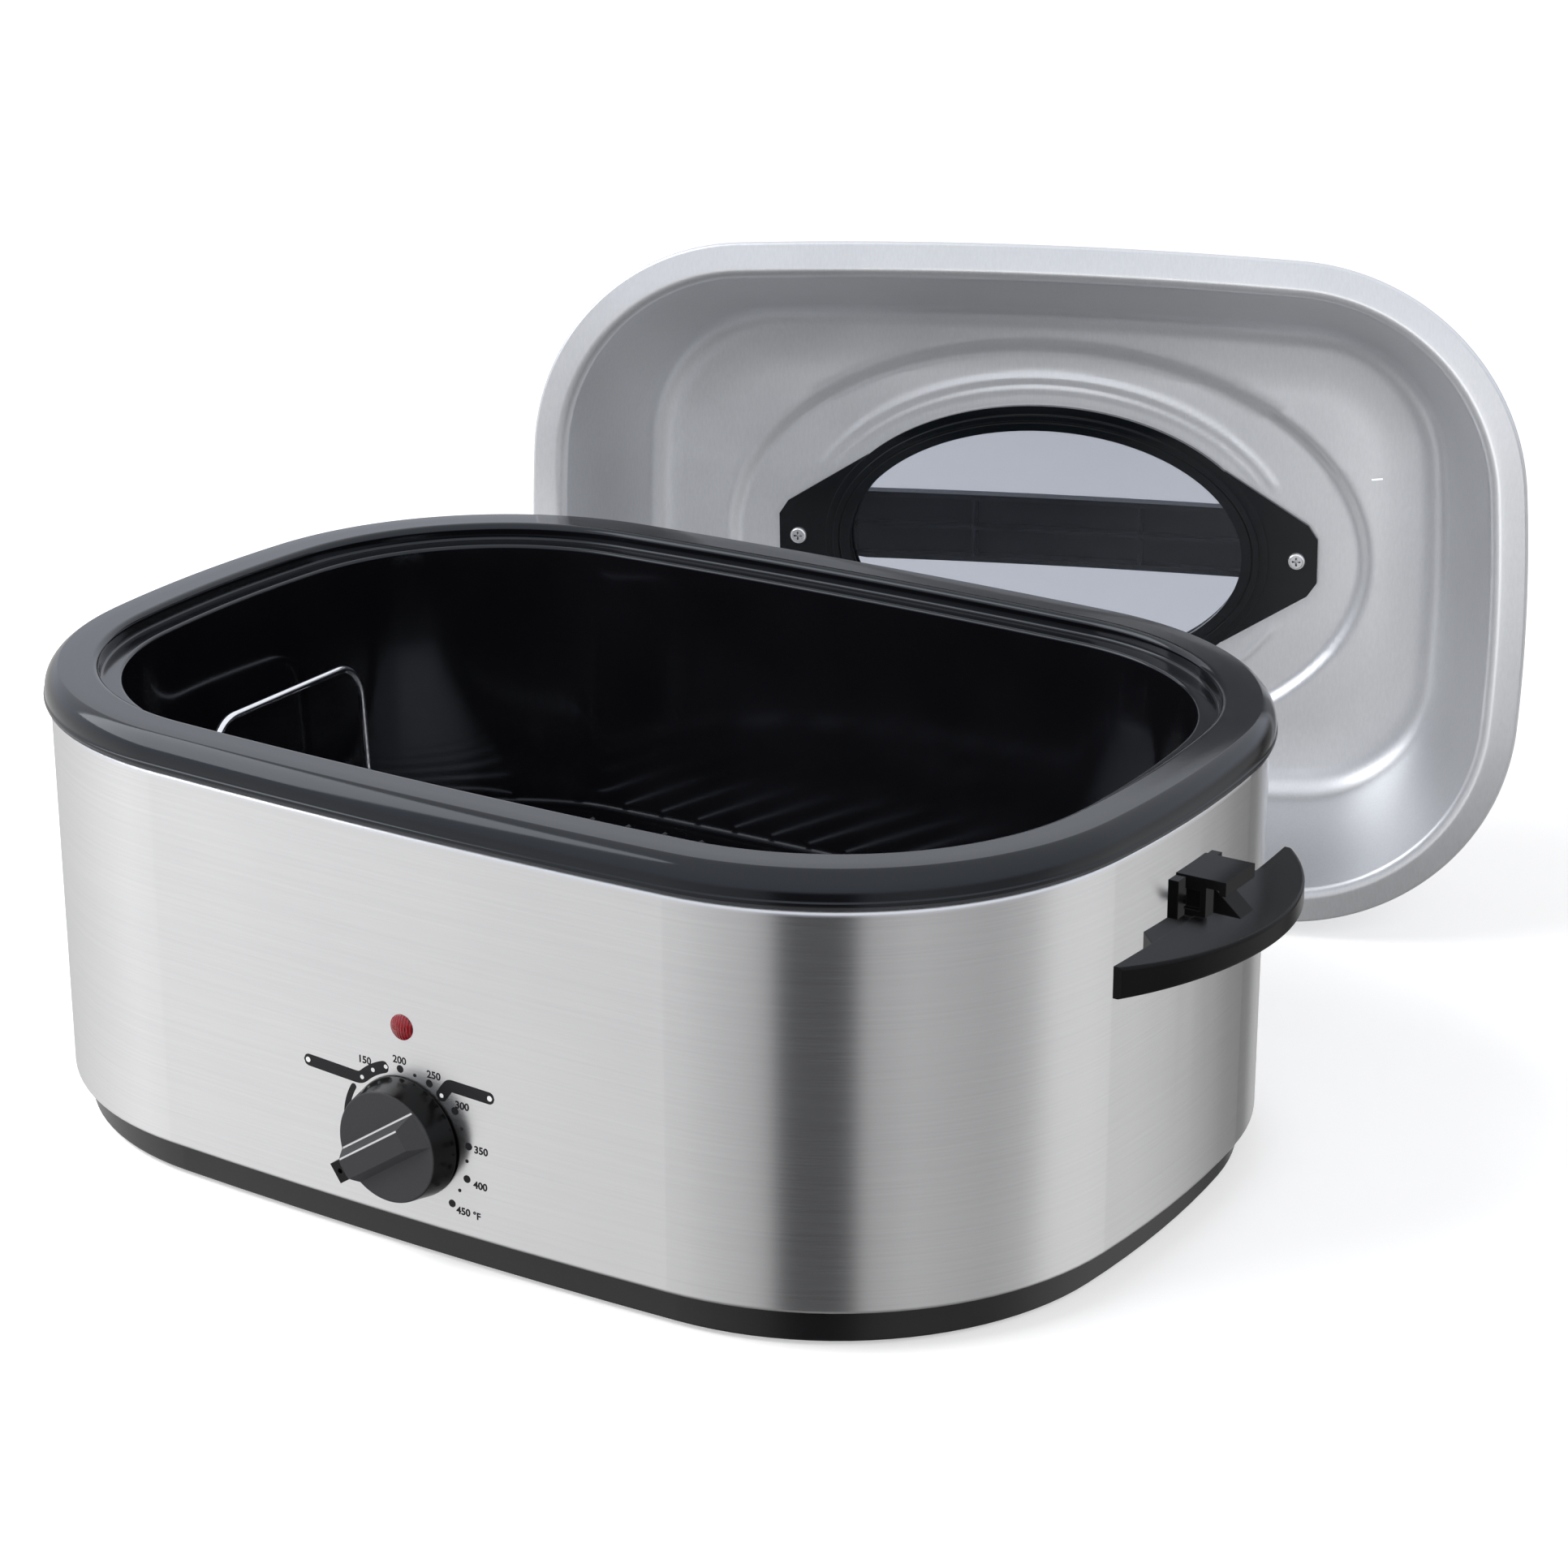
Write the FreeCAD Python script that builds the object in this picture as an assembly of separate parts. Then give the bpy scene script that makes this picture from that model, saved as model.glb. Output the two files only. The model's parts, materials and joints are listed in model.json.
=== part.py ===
import FreeCAD, Part
import math
import os

# Electric roaster oven: an oblong stainless body on a black base, a removable
# enamelled pan with a wire rack, a dial on the front, two side handles, and a
# lift-off lid with an oval window that stands on its long edge behind the body.
#
# Frame: +X to the right of the front, +Y to the back, +Z up, millimetres.
# The pieces are drawn about the centre of the body, on the standing surface,
# and written with the origin under the middle of the whole set, lid included.

V = FreeCAD.Vector
UP = V(0, 0, 1)

# ---------------------------------------------------------------- dimensions

# Body outline: four bowed sides joined by round corners
SHELL_LENGTH = 544.0
SHELL_WIDTH = 385.2
SIDE_BOW_RADIUS = 2644.0
END_BOW_RADIUS = 570.0
CORNER_RADIUS = 143.3

# Heights above the standing surface
BASE_BOTTOM_Z = 2.0
SHELL_BOTTOM_Z = 18.3
SHELL_TOP_Z = 197.0
PAN_TOP_Z = 212.2
PAN_DEPTH = 166.0

# Stainless wrapper
SHELL_THICKNESS = 1.0
SHELL_TOP_ROLL = 4.0
SHELL_BOTTOM_ROLL = 2.0
SHELL_TOP_FLANGE = 14.0
SHELL_BOTTOM_FLANGE = 24.0

# Base ring, cover plate and feet
BASE_INSET = 7.4
BASE_WALL = 2.5
BASE_LIP_ROUND = 1.5
BASE_FLANGE_THICKNESS = 2.5
BASE_FLANGE_WIDTH = 26.0
BASE_SCREW_INSET = 17.0
BASE_SCREW_X = 120.0
COVER_THICKNESS = 1.0
COVER_GAP = 0.1
VENT_LENGTH = 30.0
VENT_WIDTH = 4.0
VENT_PITCH = 14.0
VENT_START_X = 50.0
VENT_COUNT = 7
FOOT_RADIUS = 12.0
FOOT_TAPER = 2.0
FOOT_BORE_DEPTH = 5.0
FOOT_INSET_X = 84.0
FOOT_INSET_Y = 66.0

# Enamelled pan: hemmed skirt, round rim with a crisp edge, flat land, step, drafted wall
PAN_RIM_OVERHANG = 2.5
PAN_RIM_RADIUS = 12.0
PAN_EDGE_INSET = 4.0
PAN_LAND_WIDTH = 15.2
PAN_HEM_HEIGHT = 2.4
PAN_HEM_SWELL = 0.6
PAN_SEAT_DROP = 8.0
PAN_SEAT_CORNER = 3.0
PAN_SEAT_WIDTH = 10.3
PAN_SEAT_ROUND = 1.5
PAN_THICKNESS = 1.2
PAN_WALL_DRAFT = 10.0
PAN_FLOOR_ROUND = 12.0
REST_GAP = 0.3

# Fixed well around the pan, its heating band and its insulation
LINER_THICKNESS = 0.8
LINER_CLEARANCE = 4.0
LINER_FLOOR_GAP = 5.0
LINER_FLOOR_ROUND = 10.0
LINER_FLANGE_THICKNESS = 1.2
LINER_FLANGE_OVERHANG = 2.3
HEATER_THICKNESS = 2.4
HEATER_HEIGHT = 70.0
HEATER_BOTTOM_Z = 62.0
CLAMP_THICKNESS = 0.8
CLAMP_WIDTH = 10.0
CLAMP_INSET = 8.0
BLANKET_THICKNESS = 10.0
BLANKET_TOP_GAP = 18.0
BLANKET_FRONT_OPENING = 64.0
BLANKET_BACK_OPENING = 60.0
FLOOR_PAD_THICKNESS = 12.0
STUD_RADIUS = 3.0
STUD_FOOT_RADIUS = 7.0
STUD_FOOT_THICKNESS = 1.5
SPACER_WALL = 2.5
NUT_RADIUS = 6.0
NUT_HEIGHT = 4.0
FIT_GAP = 0.05

# Front panel: lamp above, dial below, a little to the right of the middle
PANEL_X = 2.7
DIAL_Z = 58.0
LAMP_Z = 108.5
KNOB_FACE_RADIUS = 25.0
KNOB_SKIRT_RADIUS = 27.5
KNOB_DEPTH = 13.5
KNOB_STANDOFF = 1.0
KNOB_WALL = 2.2
GRIP_HEIGHT = 4.0
GRIP_TIP_REACH = 30.0
GRIP_TOP_WIDTH = 9.5
GRIP_BASE_WIDTH = 17.0
GRIP_HOLE_RADIUS = 1.2
OFF_ANGLE = 214.0
SHAFT_RADIUS = 3.0
SHAFT_FLAT = 0.9
SHAFT_HOLE_GAP = 1.5
LENS_RADIUS = 5.7
LENS_DOME = 2.4
LENS_FLANGE = 2.2
LAMP_RADIUS = 3.2

# Thermostat behind the dial
THERMOSTAT_WIDTH = 34.0
THERMOSTAT_HEIGHT = 30.0
THERMOSTAT_DEPTH = 14.0
THERMOSTAT_SETBACK = 4.0
THERMOSTAT_COLLAR = 6.0
THERMOSTAT_SCREW_SPACING = 26.0
THERMOSTAT_SCREW_DEPTH = 6.0
BRACKET_THICKNESS = 1.2
BRACKET_EAR = 6.0
SMALL_SCREW_RADIUS = 1.5
SMALL_SCREW_HEAD_RADIUS = 2.6
SMALL_SCREW_HEAD_HEIGHT = 1.6

# Supply side at the back, and the fuse on the well
GLAND_X = 110.0
GLAND_Z = 44.0
GLAND_RADIUS = 7.0
GLAND_BORE = 3.6
GLAND_LIP = 3.0
TERMINAL_LENGTH = 36.0
TERMINAL_DEPTH = 14.0
TERMINAL_HEIGHT = 11.0
TERMINAL_PITCH = 11.0
TERMINAL_SCREW_RADIUS = 2.2
FUSE_RADIUS = 3.0
FUSE_LENGTH = 22.0
FUSE_RISE = 16.0
FUSE_CLIP_WIDTH = 10.0
FUSE_CLIP_THICKNESS = 0.8

# Side handles
HANDLE_TOP_Z = 158.0
HANDLE_SPAN = 158.0
HANDLE_REACH = 40.6
HANDLE_WALL_GAP = 9.0
HANDLE_TIP_SETBACK = 3.0
HANDLE_TIP_WIDTH = 4.0
HANDLE_MID_THICKNESS = 10.0
HANDLE_TIP_THICKNESS = 14.0
HANDLE_EDGE_ROUND = 1.5
HANDLE_WEB_ROOT = 34.0
HANDLE_WEB_END = 52.0
HANDLE_TAB_Z = 175.5
HANDLE_TAB_WIDTH = 27.0
HANDLE_TAB_REACH = 23.0
HANDLE_TAB_THICKNESS = 4.0
HANDLE_TAB_LIP = 3.0
HANDLE_POST_REACH = 14.0
HANDLE_POCKET = 3.0
HANDLE_BACK_WIDTH = 40.0
HANDLE_BACK_REACH = 4.5
HANDLE_WEDGE_REACH = 14.0
HANDLE_WEDGE_WIDTH = 12.0
HANDLE_SCREW_SPACING = 16.0
HANDLE_SCREW_RISE = 4.0
HANDLE_SCREW_LENGTH = 14.5
HANDLE_PLATE_WIDTH = 44.0
HANDLE_PLATE_HEIGHT = 24.0
HANDLE_PLATE_THICKNESS = 2.0

# Lid, in its own frame: the rim lies in z = 0 and the dome goes to -z
LID_END_INSET = 14.1
LID_SIDE_INSET = 17.3
LID_SIDE_BOW_RADIUS = 2752.0
LID_END_BOW_RADIUS = 844.0
LID_CORNER_RADIUS = 119.4
LID_THICKNESS = 1.0
LID_RIM_WIDTH = 14.8
LID_DEPTH = 77.0
LID_WALL_RUN = 36.0
LID_WALL_ROUND = 5.0
LID_PANEL_ROUND = 16.0
LID_EDGE_CURL = 4.0
LID_EDGE_ROUND = 1.5
LID_BEAD_RISE = 1.4
OVAL_LENGTH = 338.4
OVAL_WIDTH = 217.4
OVAL_DROP = 4.0
BEAD_LENGTH = 261.0
BEAD_WIDTH = 176.6
BEAD_BAND = 6.0
BEAD_RISE = 1.4
BEAD_END_Y = 38.0
VENT_SLOT_PLACE = (174.1, 45.7)
VENT_SLOT_LENGTH = 10.0
VENT_SLOT_WIDTH = 2.4
VENT_SLOT_TURN = 8.0

# Lid window, its frames and its handle
GLASS_LENGTH = 214.0
GLASS_WIDTH = 131.0
GLASS_THICKNESS = 4.0
GLASS_EDGE_GAP = 0.5
GASKET_THICKNESS = 1.0
GLASS_LAP_ENDS = 1.7
GLASS_LAP_SIDES = 1.9
FRAME_BORDER_ENDS = 12.0
FRAME_BORDER_SIDES = 10.9
FRAME_PLATE = 2.6
FRAME_STEPS = ((0.0, 3.4), (9.0, 5.4))
FRAME_GROOVE = (15.0, 17.0, 4.2)
OUTER_FRAME_EXTRA = 4.0
OUTER_FRAME_DEPTH = 3.0
EAR_LENGTH = 25.4
EAR_END_HALF = 11.5
EAR_CHAMFER = (5.0, 7.4)
EAR_ROOT_INSET = (23.5, 30.4)
LID_SCREW_OUTSIDE_FRAME = 14.8
LID_SCREW_LENGTH = 12.0
BAR_WIDTH = 37.0
BAR_UNDERSIDE_GAP = 35.0
BAR_ARCH = 4.0
BAR_THICKNESS = 12.0
BAR_END_REACH = 11.0
BAR_WALL = 3.0
BAR_END_TAPER = 6.0
BAR_ROUND = 3.0
RIB_SPACING = 90.0
RIB_THICKNESS = 1.8

# How far the middle of the whole set is behind the front of the body
SET_MIDDLE_BEHIND_FRONT = 312.5

# Where the lid stands: turned to face front and right, leaning back a little
LID_STAND_X = 21.1
LID_STAND_BEHIND = 101.9
LID_TURN = 17.5
LID_LEAN = 1.6
LID_ROLL = 1.33

# Rack in the pan
RACK_WIRE_RADIUS = 2.5
RACK_CROSS_RADIUS = 1.5
RACK_HEIGHT = 20.0
RACK_WALL_GAP = 14.0
RACK_CROSS_COUNT = 19
RACK_LEG_X = 108.0
RACK_LEG_WIDTH = 30.0
RACK_LEG_BEND = 6.0
RACK_HANDLE_HEIGHT = 95.0
RACK_HANDLE_WIDTH = 110.0
RACK_HANDLE_BEND = 16.0
RACK_HANDLE_LEAN = 6.0
RACK_HANDLE_RADIUS = 2.0

# Fasteners
SCREW_RADIUS = 2.0
SCREW_HEAD_RADIUS = 4.0
SCREW_HEAD_HEIGHT = 2.4
LID_SCREW_HEAD_RADIUS = 4.5

# ------------------------------------------------------------ derived places

LID_LENGTH = SHELL_LENGTH - 2 * LID_END_INSET
LID_WIDTH = SHELL_WIDTH - 2 * LID_SIDE_INSET
BODY_SIZE = (SHELL_LENGTH / 2, SHELL_WIDTH / 2, SIDE_BOW_RADIUS, END_BOW_RADIUS, CORNER_RADIUS)
LID_SIZE = (LID_LENGTH / 2, LID_WIDTH / 2, LID_SIDE_BOW_RADIUS, LID_END_BOW_RADIUS, LID_CORNER_RADIUS)
HALF_LENGTH = SHELL_LENGTH / 2
HALF_WIDTH = SHELL_WIDTH / 2
FRONT_Y = -HALF_WIDTH
SET_MIDDLE_Y = FRONT_Y + SET_MIDDLE_BEHIND_FRONT
LID_STAND_Y = HALF_WIDTH + LID_STAND_BEHIND

LINER_TOP_Z = SHELL_TOP_Z + LINER_FLANGE_THICKNESS
PAN_SKIRT_Z = LINER_TOP_Z + REST_GAP
PAN_LAND_OUTER = -PAN_EDGE_INSET
PAN_LAND_INNER = PAN_LAND_OUTER - PAN_LAND_WIDTH
PAN_SEAT_Z = PAN_TOP_Z - PAN_SEAT_DROP
PAN_WALL_TOP = PAN_LAND_INNER - PAN_SEAT_CORNER - PAN_SEAT_WIDTH
PAN_WALL_FOOT = PAN_WALL_TOP - PAN_WALL_DRAFT
PAN_FLOOR_Z = PAN_TOP_Z - PAN_DEPTH

LINER_INSIDE = PAN_WALL_TOP + PAN_THICKNESS + LINER_CLEARANCE
LINER_OUTSIDE = LINER_INSIDE + LINER_THICKNESS
LINER_FLOOR_Z = PAN_FLOOR_Z - PAN_THICKNESS - LINER_FLOOR_GAP - LINER_THICKNESS
HEATER_OUTSIDE = LINER_OUTSIDE + HEATER_THICKNESS
BLANKET_INSIDE = HEATER_OUTSIDE + CLAMP_THICKNESS + 2 * FIT_GAP
BLANKET_OUTSIDE = BLANKET_INSIDE + BLANKET_THICKNESS
COVER_TOP_Z = SHELL_BOTTOM_Z - BASE_FLANGE_THICKNESS - COVER_GAP
COVER_Z = COVER_TOP_Z - COVER_THICKNESS

THERMOSTAT_Y = FRONT_Y + SHELL_THICKNESS + BRACKET_THICKNESS + THERMOSTAT_SETBACK
THERMOSTAT_SCREW_X = (-THERMOSTAT_SCREW_SPACING / 2, THERMOSTAT_SCREW_SPACING / 2)
FUSE_Z = HEATER_BOTTOM_Z + HEATER_HEIGHT + FUSE_RISE
HANDLE_SCREW_Z = HANDLE_TOP_Z + HANDLE_SCREW_RISE
HANDLE_SCREW_Y = (-HANDLE_SCREW_SPACING / 2, HANDLE_SCREW_SPACING / 2)

RACK_OFFSET = PAN_WALL_FOOT - RACK_WALL_GAP
RACK_FRAME_Z = PAN_FLOOR_Z + RACK_HEIGHT

OVAL_FLOOR_Z = -LID_DEPTH - OVAL_DROP
GASKET_LOW_Z = OVAL_FLOOR_Z - GLASS_THICKNESS - GASKET_THICKNESS
OUTER_FRAME_LOW_Z = GASKET_LOW_Z - OUTER_FRAME_DEPTH
SIGHT_LENGTH = GLASS_LENGTH - 2 * GLASS_LAP_ENDS
SIGHT_WIDTH = GLASS_WIDTH - 2 * GLASS_LAP_SIDES
FRAME_LENGTH = GLASS_LENGTH + 2 * FRAME_BORDER_ENDS
FRAME_WIDTH = GLASS_WIDTH + 2 * FRAME_BORDER_SIDES
EAR_REACH = FRAME_LENGTH / 2 + EAR_LENGTH
EAR_ROOT = (FRAME_LENGTH / 2 - EAR_ROOT_INSET[0], FRAME_WIDTH / 2 - EAR_ROOT_INSET[1])
LID_SCREW_X = FRAME_LENGTH / 2 + LID_SCREW_OUTSIDE_FRAME


# ---------------------------------------------------------------- geometry

SQUARE = ((-1, -1), (1, -1), (1, 1), (-1, 1))


def arc(start, middle, end):
    """A circular edge through three points."""
    return Part.Arc(start, middle, end).toShape()


def line(start, end):
    """A straight edge."""
    return Part.LineSegment(start, end).toShape()


def rounded_loop(size, offset, z):
    """A closed loop of four bowed sides and four round corners, moved outwards by offset.

    Each corner arc is tangent to the side arc and the end arc beside it. The
    loop starts and ends in the middle of the back side.
    """
    half_length, half_width, side_radius, end_radius, corner_radius = size
    side_centre = V(0, half_width - side_radius, 0)
    end_centre = V(half_length - end_radius, 0, 0)
    to_end = end_centre - side_centre
    reach_side = side_radius - corner_radius
    reach_end = end_radius - corner_radius
    along = (reach_side ** 2 - reach_end ** 2 + to_end.Length ** 2) / (2 * to_end.Length)
    across = math.sqrt(reach_side ** 2 - along ** 2)
    unit = V(to_end).normalize()
    corner = side_centre + unit * along + V(unit.y, -unit.x, 0) * across
    on_side = side_centre + (corner - side_centre).normalize() * (side_radius + offset)
    on_end = end_centre + (corner - end_centre).normalize() * (end_radius + offset)
    outward = ((on_side - corner).normalize() + (on_end - corner).normalize()).normalize()
    in_corner = corner + outward * (corner_radius + offset)

    def place(point, flip_x, flip_y):
        return V(point.x * flip_x, point.y * flip_y, z)

    back = V(0, half_width + offset, z)
    front = V(0, -half_width - offset, z)
    side_bow = math.atan2(on_side.x, on_side.y - side_centre.y) / 2
    on_bow = side_centre + V(math.sin(side_bow), math.cos(side_bow), 0) * (side_radius + offset)
    end_tip = V(half_length + offset, 0, 0)
    edges = [
        arc(back, place(on_bow, 1, 1), place(on_side, 1, 1)),
        arc(place(on_side, 1, 1), place(in_corner, 1, 1), place(on_end, 1, 1)),
        arc(place(on_end, 1, 1), place(end_tip, 1, 1), place(on_end, 1, -1)),
        arc(place(on_end, 1, -1), place(in_corner, 1, -1), place(on_side, 1, -1)),
        arc(place(on_side, 1, -1), front, place(on_side, -1, -1)),
        arc(place(on_side, -1, -1), place(in_corner, -1, -1), place(on_end, -1, -1)),
        arc(place(on_end, -1, -1), place(end_tip, -1, 1), place(on_end, -1, 1)),
        arc(place(on_end, -1, 1), place(in_corner, -1, 1), place(on_side, -1, 1)),
        arc(place(on_side, -1, 1), place(on_bow, -1, 1), back),
    ]
    return Part.Wire(edges)


def slab(size, offset, low, high):
    """The loop's area between two heights."""
    face = Part.Face(rounded_loop(size, offset, low))
    return face.extrude(V(0, 0, high - low))


def ring(size, outer, inner, low, high):
    """A slab with a smaller slab taken out of it."""
    return slab(size, outer, low, high).cut(slab(size, inner, low - 1, high + 1))


def swept_ring(size, profile):
    """Carry a closed profile round the loop.

    The profile is a list of (offset, z) points. An entry with four numbers,
    (through offset, through z, offset, z), is reached by an arc.
    """
    half_width = size[1]

    def point(offset, z):
        return V(0, half_width + offset, z)

    edges = []
    here = point(*profile[0][-2:])
    for entry in profile[1:] + profile[:1]:
        there = point(*entry[-2:])
        if len(entry) == 4:
            edges.append(arc(here, point(*entry[:2]), there))
        else:
            edges.append(line(here, there))
        here = there
    path = rounded_loop(size, 0.0, 0.0)
    return path.makePipeShell([Part.Wire(edges)], True, False)


def round_through(centre, radius, angle):
    """The point of a circle at an angle, for the arcs of a profile."""
    return (centre[0] + radius * math.cos(math.radians(angle)),
            centre[1] + radius * math.sin(math.radians(angle)))


def oval(length, width, low, high):
    """An elliptical cylinder about the z axis."""
    ellipse = Part.Ellipse(V(0, 0, low), length / 2, width / 2).toShape()
    return Part.Face(Part.Wire([ellipse])).extrude(V(0, 0, high - low))


def oval_ring(outer, inner, low, high):
    """An elliptical ring: outer and inner are (length, width) pairs."""
    return oval(outer[0], outer[1], low, high).cut(oval(inner[0], inner[1], low - 1, high + 1))


def polygon(points, height):
    """A prism on a flat polygon of (x, y, z) points, raised along z."""
    corners = [V(*p) for p in points]
    wire = Part.makePolygon(corners + corners[:1])
    return Part.Face(wire).extrude(V(0, 0, height))


def box(x0, x1, y0, y1, z0, z1):
    """A block between two corners."""
    return Part.makeBox(x1 - x0, y1 - y0, z1 - z0, V(x0, y0, z0))


def rod(start, end, radius):
    """A round bar from one point to another."""
    direction = end - start
    return Part.makeCylinder(radius, direction.Length, start, direction)


def hollow_rod(start, end, outer, inner):
    """A round tube from one point to another."""
    return rod(start, end, outer).cut(rod(start, end, inner))


def fused(shapes):
    """One solid from several that touch."""
    whole = shapes[0]
    for shape in shapes[1:]:
        whole = whole.fuse(shape)
    return whole.removeSplitter()


def cut_all(shape, tools):
    """Take each tool out of a shape."""
    for tool in tools:
        shape = shape.cut(tool)
    return shape


def mirrored(shape):
    """The same piece on the left."""
    return shape.mirror(V(0, 0, 0), V(1, 0, 0))


def screw(tip, head_seat, radius, head_radius, head_height):
    """A domed cross-head screw: its shank ends at tip, its head sits on head_seat."""
    axis = (head_seat - tip).normalize()
    top = head_seat + axis * head_height
    head = Part.makeCylinder(head_radius, head_height, head_seat, axis)
    head = head.makeFillet(head_height * 0.6, [head.Edges[0]])
    solid = head.fuse(rod(tip, head_seat, radius))
    side = V(0, 0, 1).cross(axis)
    if side.Length < 0.5:
        side = V(1, 0, 0)
    side.normalize()
    other = axis.cross(side)
    reach = head_radius * 0.5
    width = head_radius * 0.11
    for arm, across in ((side, other), (other, side)):
        corners = [top + arm * a * reach + across * b * width for a, b in SQUARE]
        face = Part.Face(Part.makePolygon(corners + corners[:1]))
        solid = solid.cut(face.extrude(axis * (-head_height * 0.55)))
    return solid.removeSplitter()


def bent_wire(points, bend_radius, radius):
    """A round wire along straight runs joined by tangent arcs."""
    edges = []
    here = points[0]
    for before, corner, after in zip(points, points[1:], points[2:]):
        inward = (before - corner).normalize()
        onward = (after - corner).normalize()
        half = inward.getAngle(onward) / 2
        setback = bend_radius / math.tan(half)
        start = corner + inward * setback
        end = corner + onward * setback
        bisector = (inward + onward).normalize()
        middle = corner + bisector * (bend_radius / math.sin(half) - bend_radius)
        edges.append(line(here, start))
        edges.append(arc(start, middle, end))
        here = end
    edges.append(line(here, points[-1]))
    path = Part.Wire(edges)
    circle = Part.Wire([Part.Circle(points[0], points[1] - points[0], radius).toShape()])
    return path.makePipeShell([circle], True, False)


def save(name, shape):
    """Write one node in the set's frame and print what it holds."""
    solids = shape.Solids
    whole = Part.makeCompound(solids) if len(solids) > 1 else solids[0]
    whole.translate(V(0, -SET_MIDDLE_Y, 0))
    whole.exportStep(f"parts/{name}.step")
    bounds = whole.BoundBox
    lows = f"{bounds.XMin:.1f} {bounds.YMin:.1f} {bounds.ZMin:.1f}"
    highs = f"{bounds.XMax:.1f} {bounds.YMax:.1f} {bounds.ZMax:.1f}"
    print(f"{name:24s} {len(solids):2d} solids, valid {whole.isValid()}, from {lows} to {highs}")


def end_distance(y):
    """How far the bowed end wall is from the middle plane, at a given y."""
    return HALF_LENGTH - END_BOW_RADIUS + math.sqrt(END_BOW_RADIUS ** 2 - y ** 2)


def back_wall(x, offset):
    """The y of the bowed back wall at a given x, moved outwards by offset."""
    radius = SIDE_BOW_RADIUS + offset
    return HALF_WIDTH - SIDE_BOW_RADIUS + math.sqrt(radius ** 2 - x ** 2)


# -------------------------------------------------------------------- body

def outer_shell():
    """Stainless wrapper with rolled edges and the holes of the front, ends and back."""
    top = SHELL_TOP_Z
    bottom = SHELL_BOTTOM_Z
    t = SHELL_THICKNESS
    roll = SHELL_TOP_ROLL
    foot_roll = SHELL_BOTTOM_ROLL
    top_centre = (-roll, top - roll)
    foot_centre = (-foot_roll, bottom + foot_roll)
    profile = [
        (-SHELL_BOTTOM_FLANGE, bottom),
        (-foot_roll, bottom),
        (*round_through(foot_centre, foot_roll, -45), 0.0, bottom + foot_roll),
        (0.0, top - roll),
        (*round_through(top_centre, roll, 45), -roll, top),
        (-SHELL_TOP_FLANGE, top),
        (-SHELL_TOP_FLANGE, top - t),
        (-roll, top - t),
        (*round_through(top_centre, roll - t, 45), -t, top - roll),
        (-t, bottom + foot_roll),
        (*round_through(foot_centre, foot_roll - t, -45), -foot_roll, bottom + t),
        (-SHELL_BOTTOM_FLANGE, bottom + t),
    ]
    shell = swept_ring(BODY_SIZE, profile)
    holes = [
        through_front(PANEL_X, DIAL_Z, SHAFT_RADIUS + SHAFT_HOLE_GAP),
        through_front(PANEL_X, LAMP_Z, LENS_RADIUS + FIT_GAP),
        gland_hole(),
    ]
    for x in THERMOSTAT_SCREW_X:
        holes.append(through_front(PANEL_X + x, DIAL_Z, SMALL_SCREW_RADIUS + FIT_GAP))
    for side in (-1, 1):
        for y in HANDLE_SCREW_Y:
            start = V(side * (HALF_LENGTH - 6), y, HANDLE_SCREW_Z)
            end = V(side * (HALF_LENGTH + 4), y, HANDLE_SCREW_Z)
            holes.append(rod(start, end, SCREW_RADIUS + FIT_GAP))
    for x, y in base_screw_places():
        holes.append(rod(V(x, y, bottom - 1), V(x, y, bottom + 3), SCREW_RADIUS + FIT_GAP))
    return cut_all(shell, holes)


def through_front(x, z, radius):
    """A cutter through the front wall."""
    return rod(V(x, FRONT_Y - 2, z), V(x, FRONT_Y + 4, z), radius)


def gland_hole():
    """A cutter through the back wall for the bushing's barrel."""
    wall = back_wall(GLAND_X, 0.0)
    return rod(V(GLAND_X, wall - 4, GLAND_Z), V(GLAND_X, wall + 2, GLAND_Z), GLAND_RADIUS + FIT_GAP)


def base_screw_places():
    """Screws through cover, base ring and shell flange: two per side and one per end."""
    side_y = back_wall(BASE_SCREW_X, 0.0) - BASE_SCREW_INSET
    places = [(x, y) for x in (-BASE_SCREW_X, BASE_SCREW_X) for y in (-side_y, side_y)]
    return places + [(-HALF_LENGTH + BASE_SCREW_INSET, 0.0), (HALF_LENGTH - BASE_SCREW_INSET, 0.0)]


def base_ring():
    """Black base: an upright skirt and a flange under the shell."""
    outer = -BASE_INSET
    inner = outer - BASE_WALL
    edge = outer - BASE_FLANGE_WIDTH
    top = SHELL_BOTTOM_Z
    lip = BASE_LIP_ROUND
    lip_centre = (outer - lip, BASE_BOTTOM_Z + lip)
    profile = [
        (outer - lip, BASE_BOTTOM_Z),
        (*round_through(lip_centre, lip, -45), outer, BASE_BOTTOM_Z + lip),
        (outer, top),
        (edge, top),
        (edge, top - BASE_FLANGE_THICKNESS),
        (inner, top - BASE_FLANGE_THICKNESS),
        (inner, BASE_BOTTOM_Z),
    ]
    holes = [rod(V(x, y, 0), V(x, y, top + 1), SCREW_RADIUS + FIT_GAP) for x, y in base_screw_places()]
    return cut_all(swept_ring(BODY_SIZE, profile), holes)


def foot_places():
    """Centres of the four feet."""
    x = HALF_LENGTH - FOOT_INSET_X
    y = HALF_WIDTH - FOOT_INSET_Y
    return {"front_left": (-x, -y), "front_right": (x, -y), "back_left": (-x, y), "back_right": (x, y)}


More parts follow.
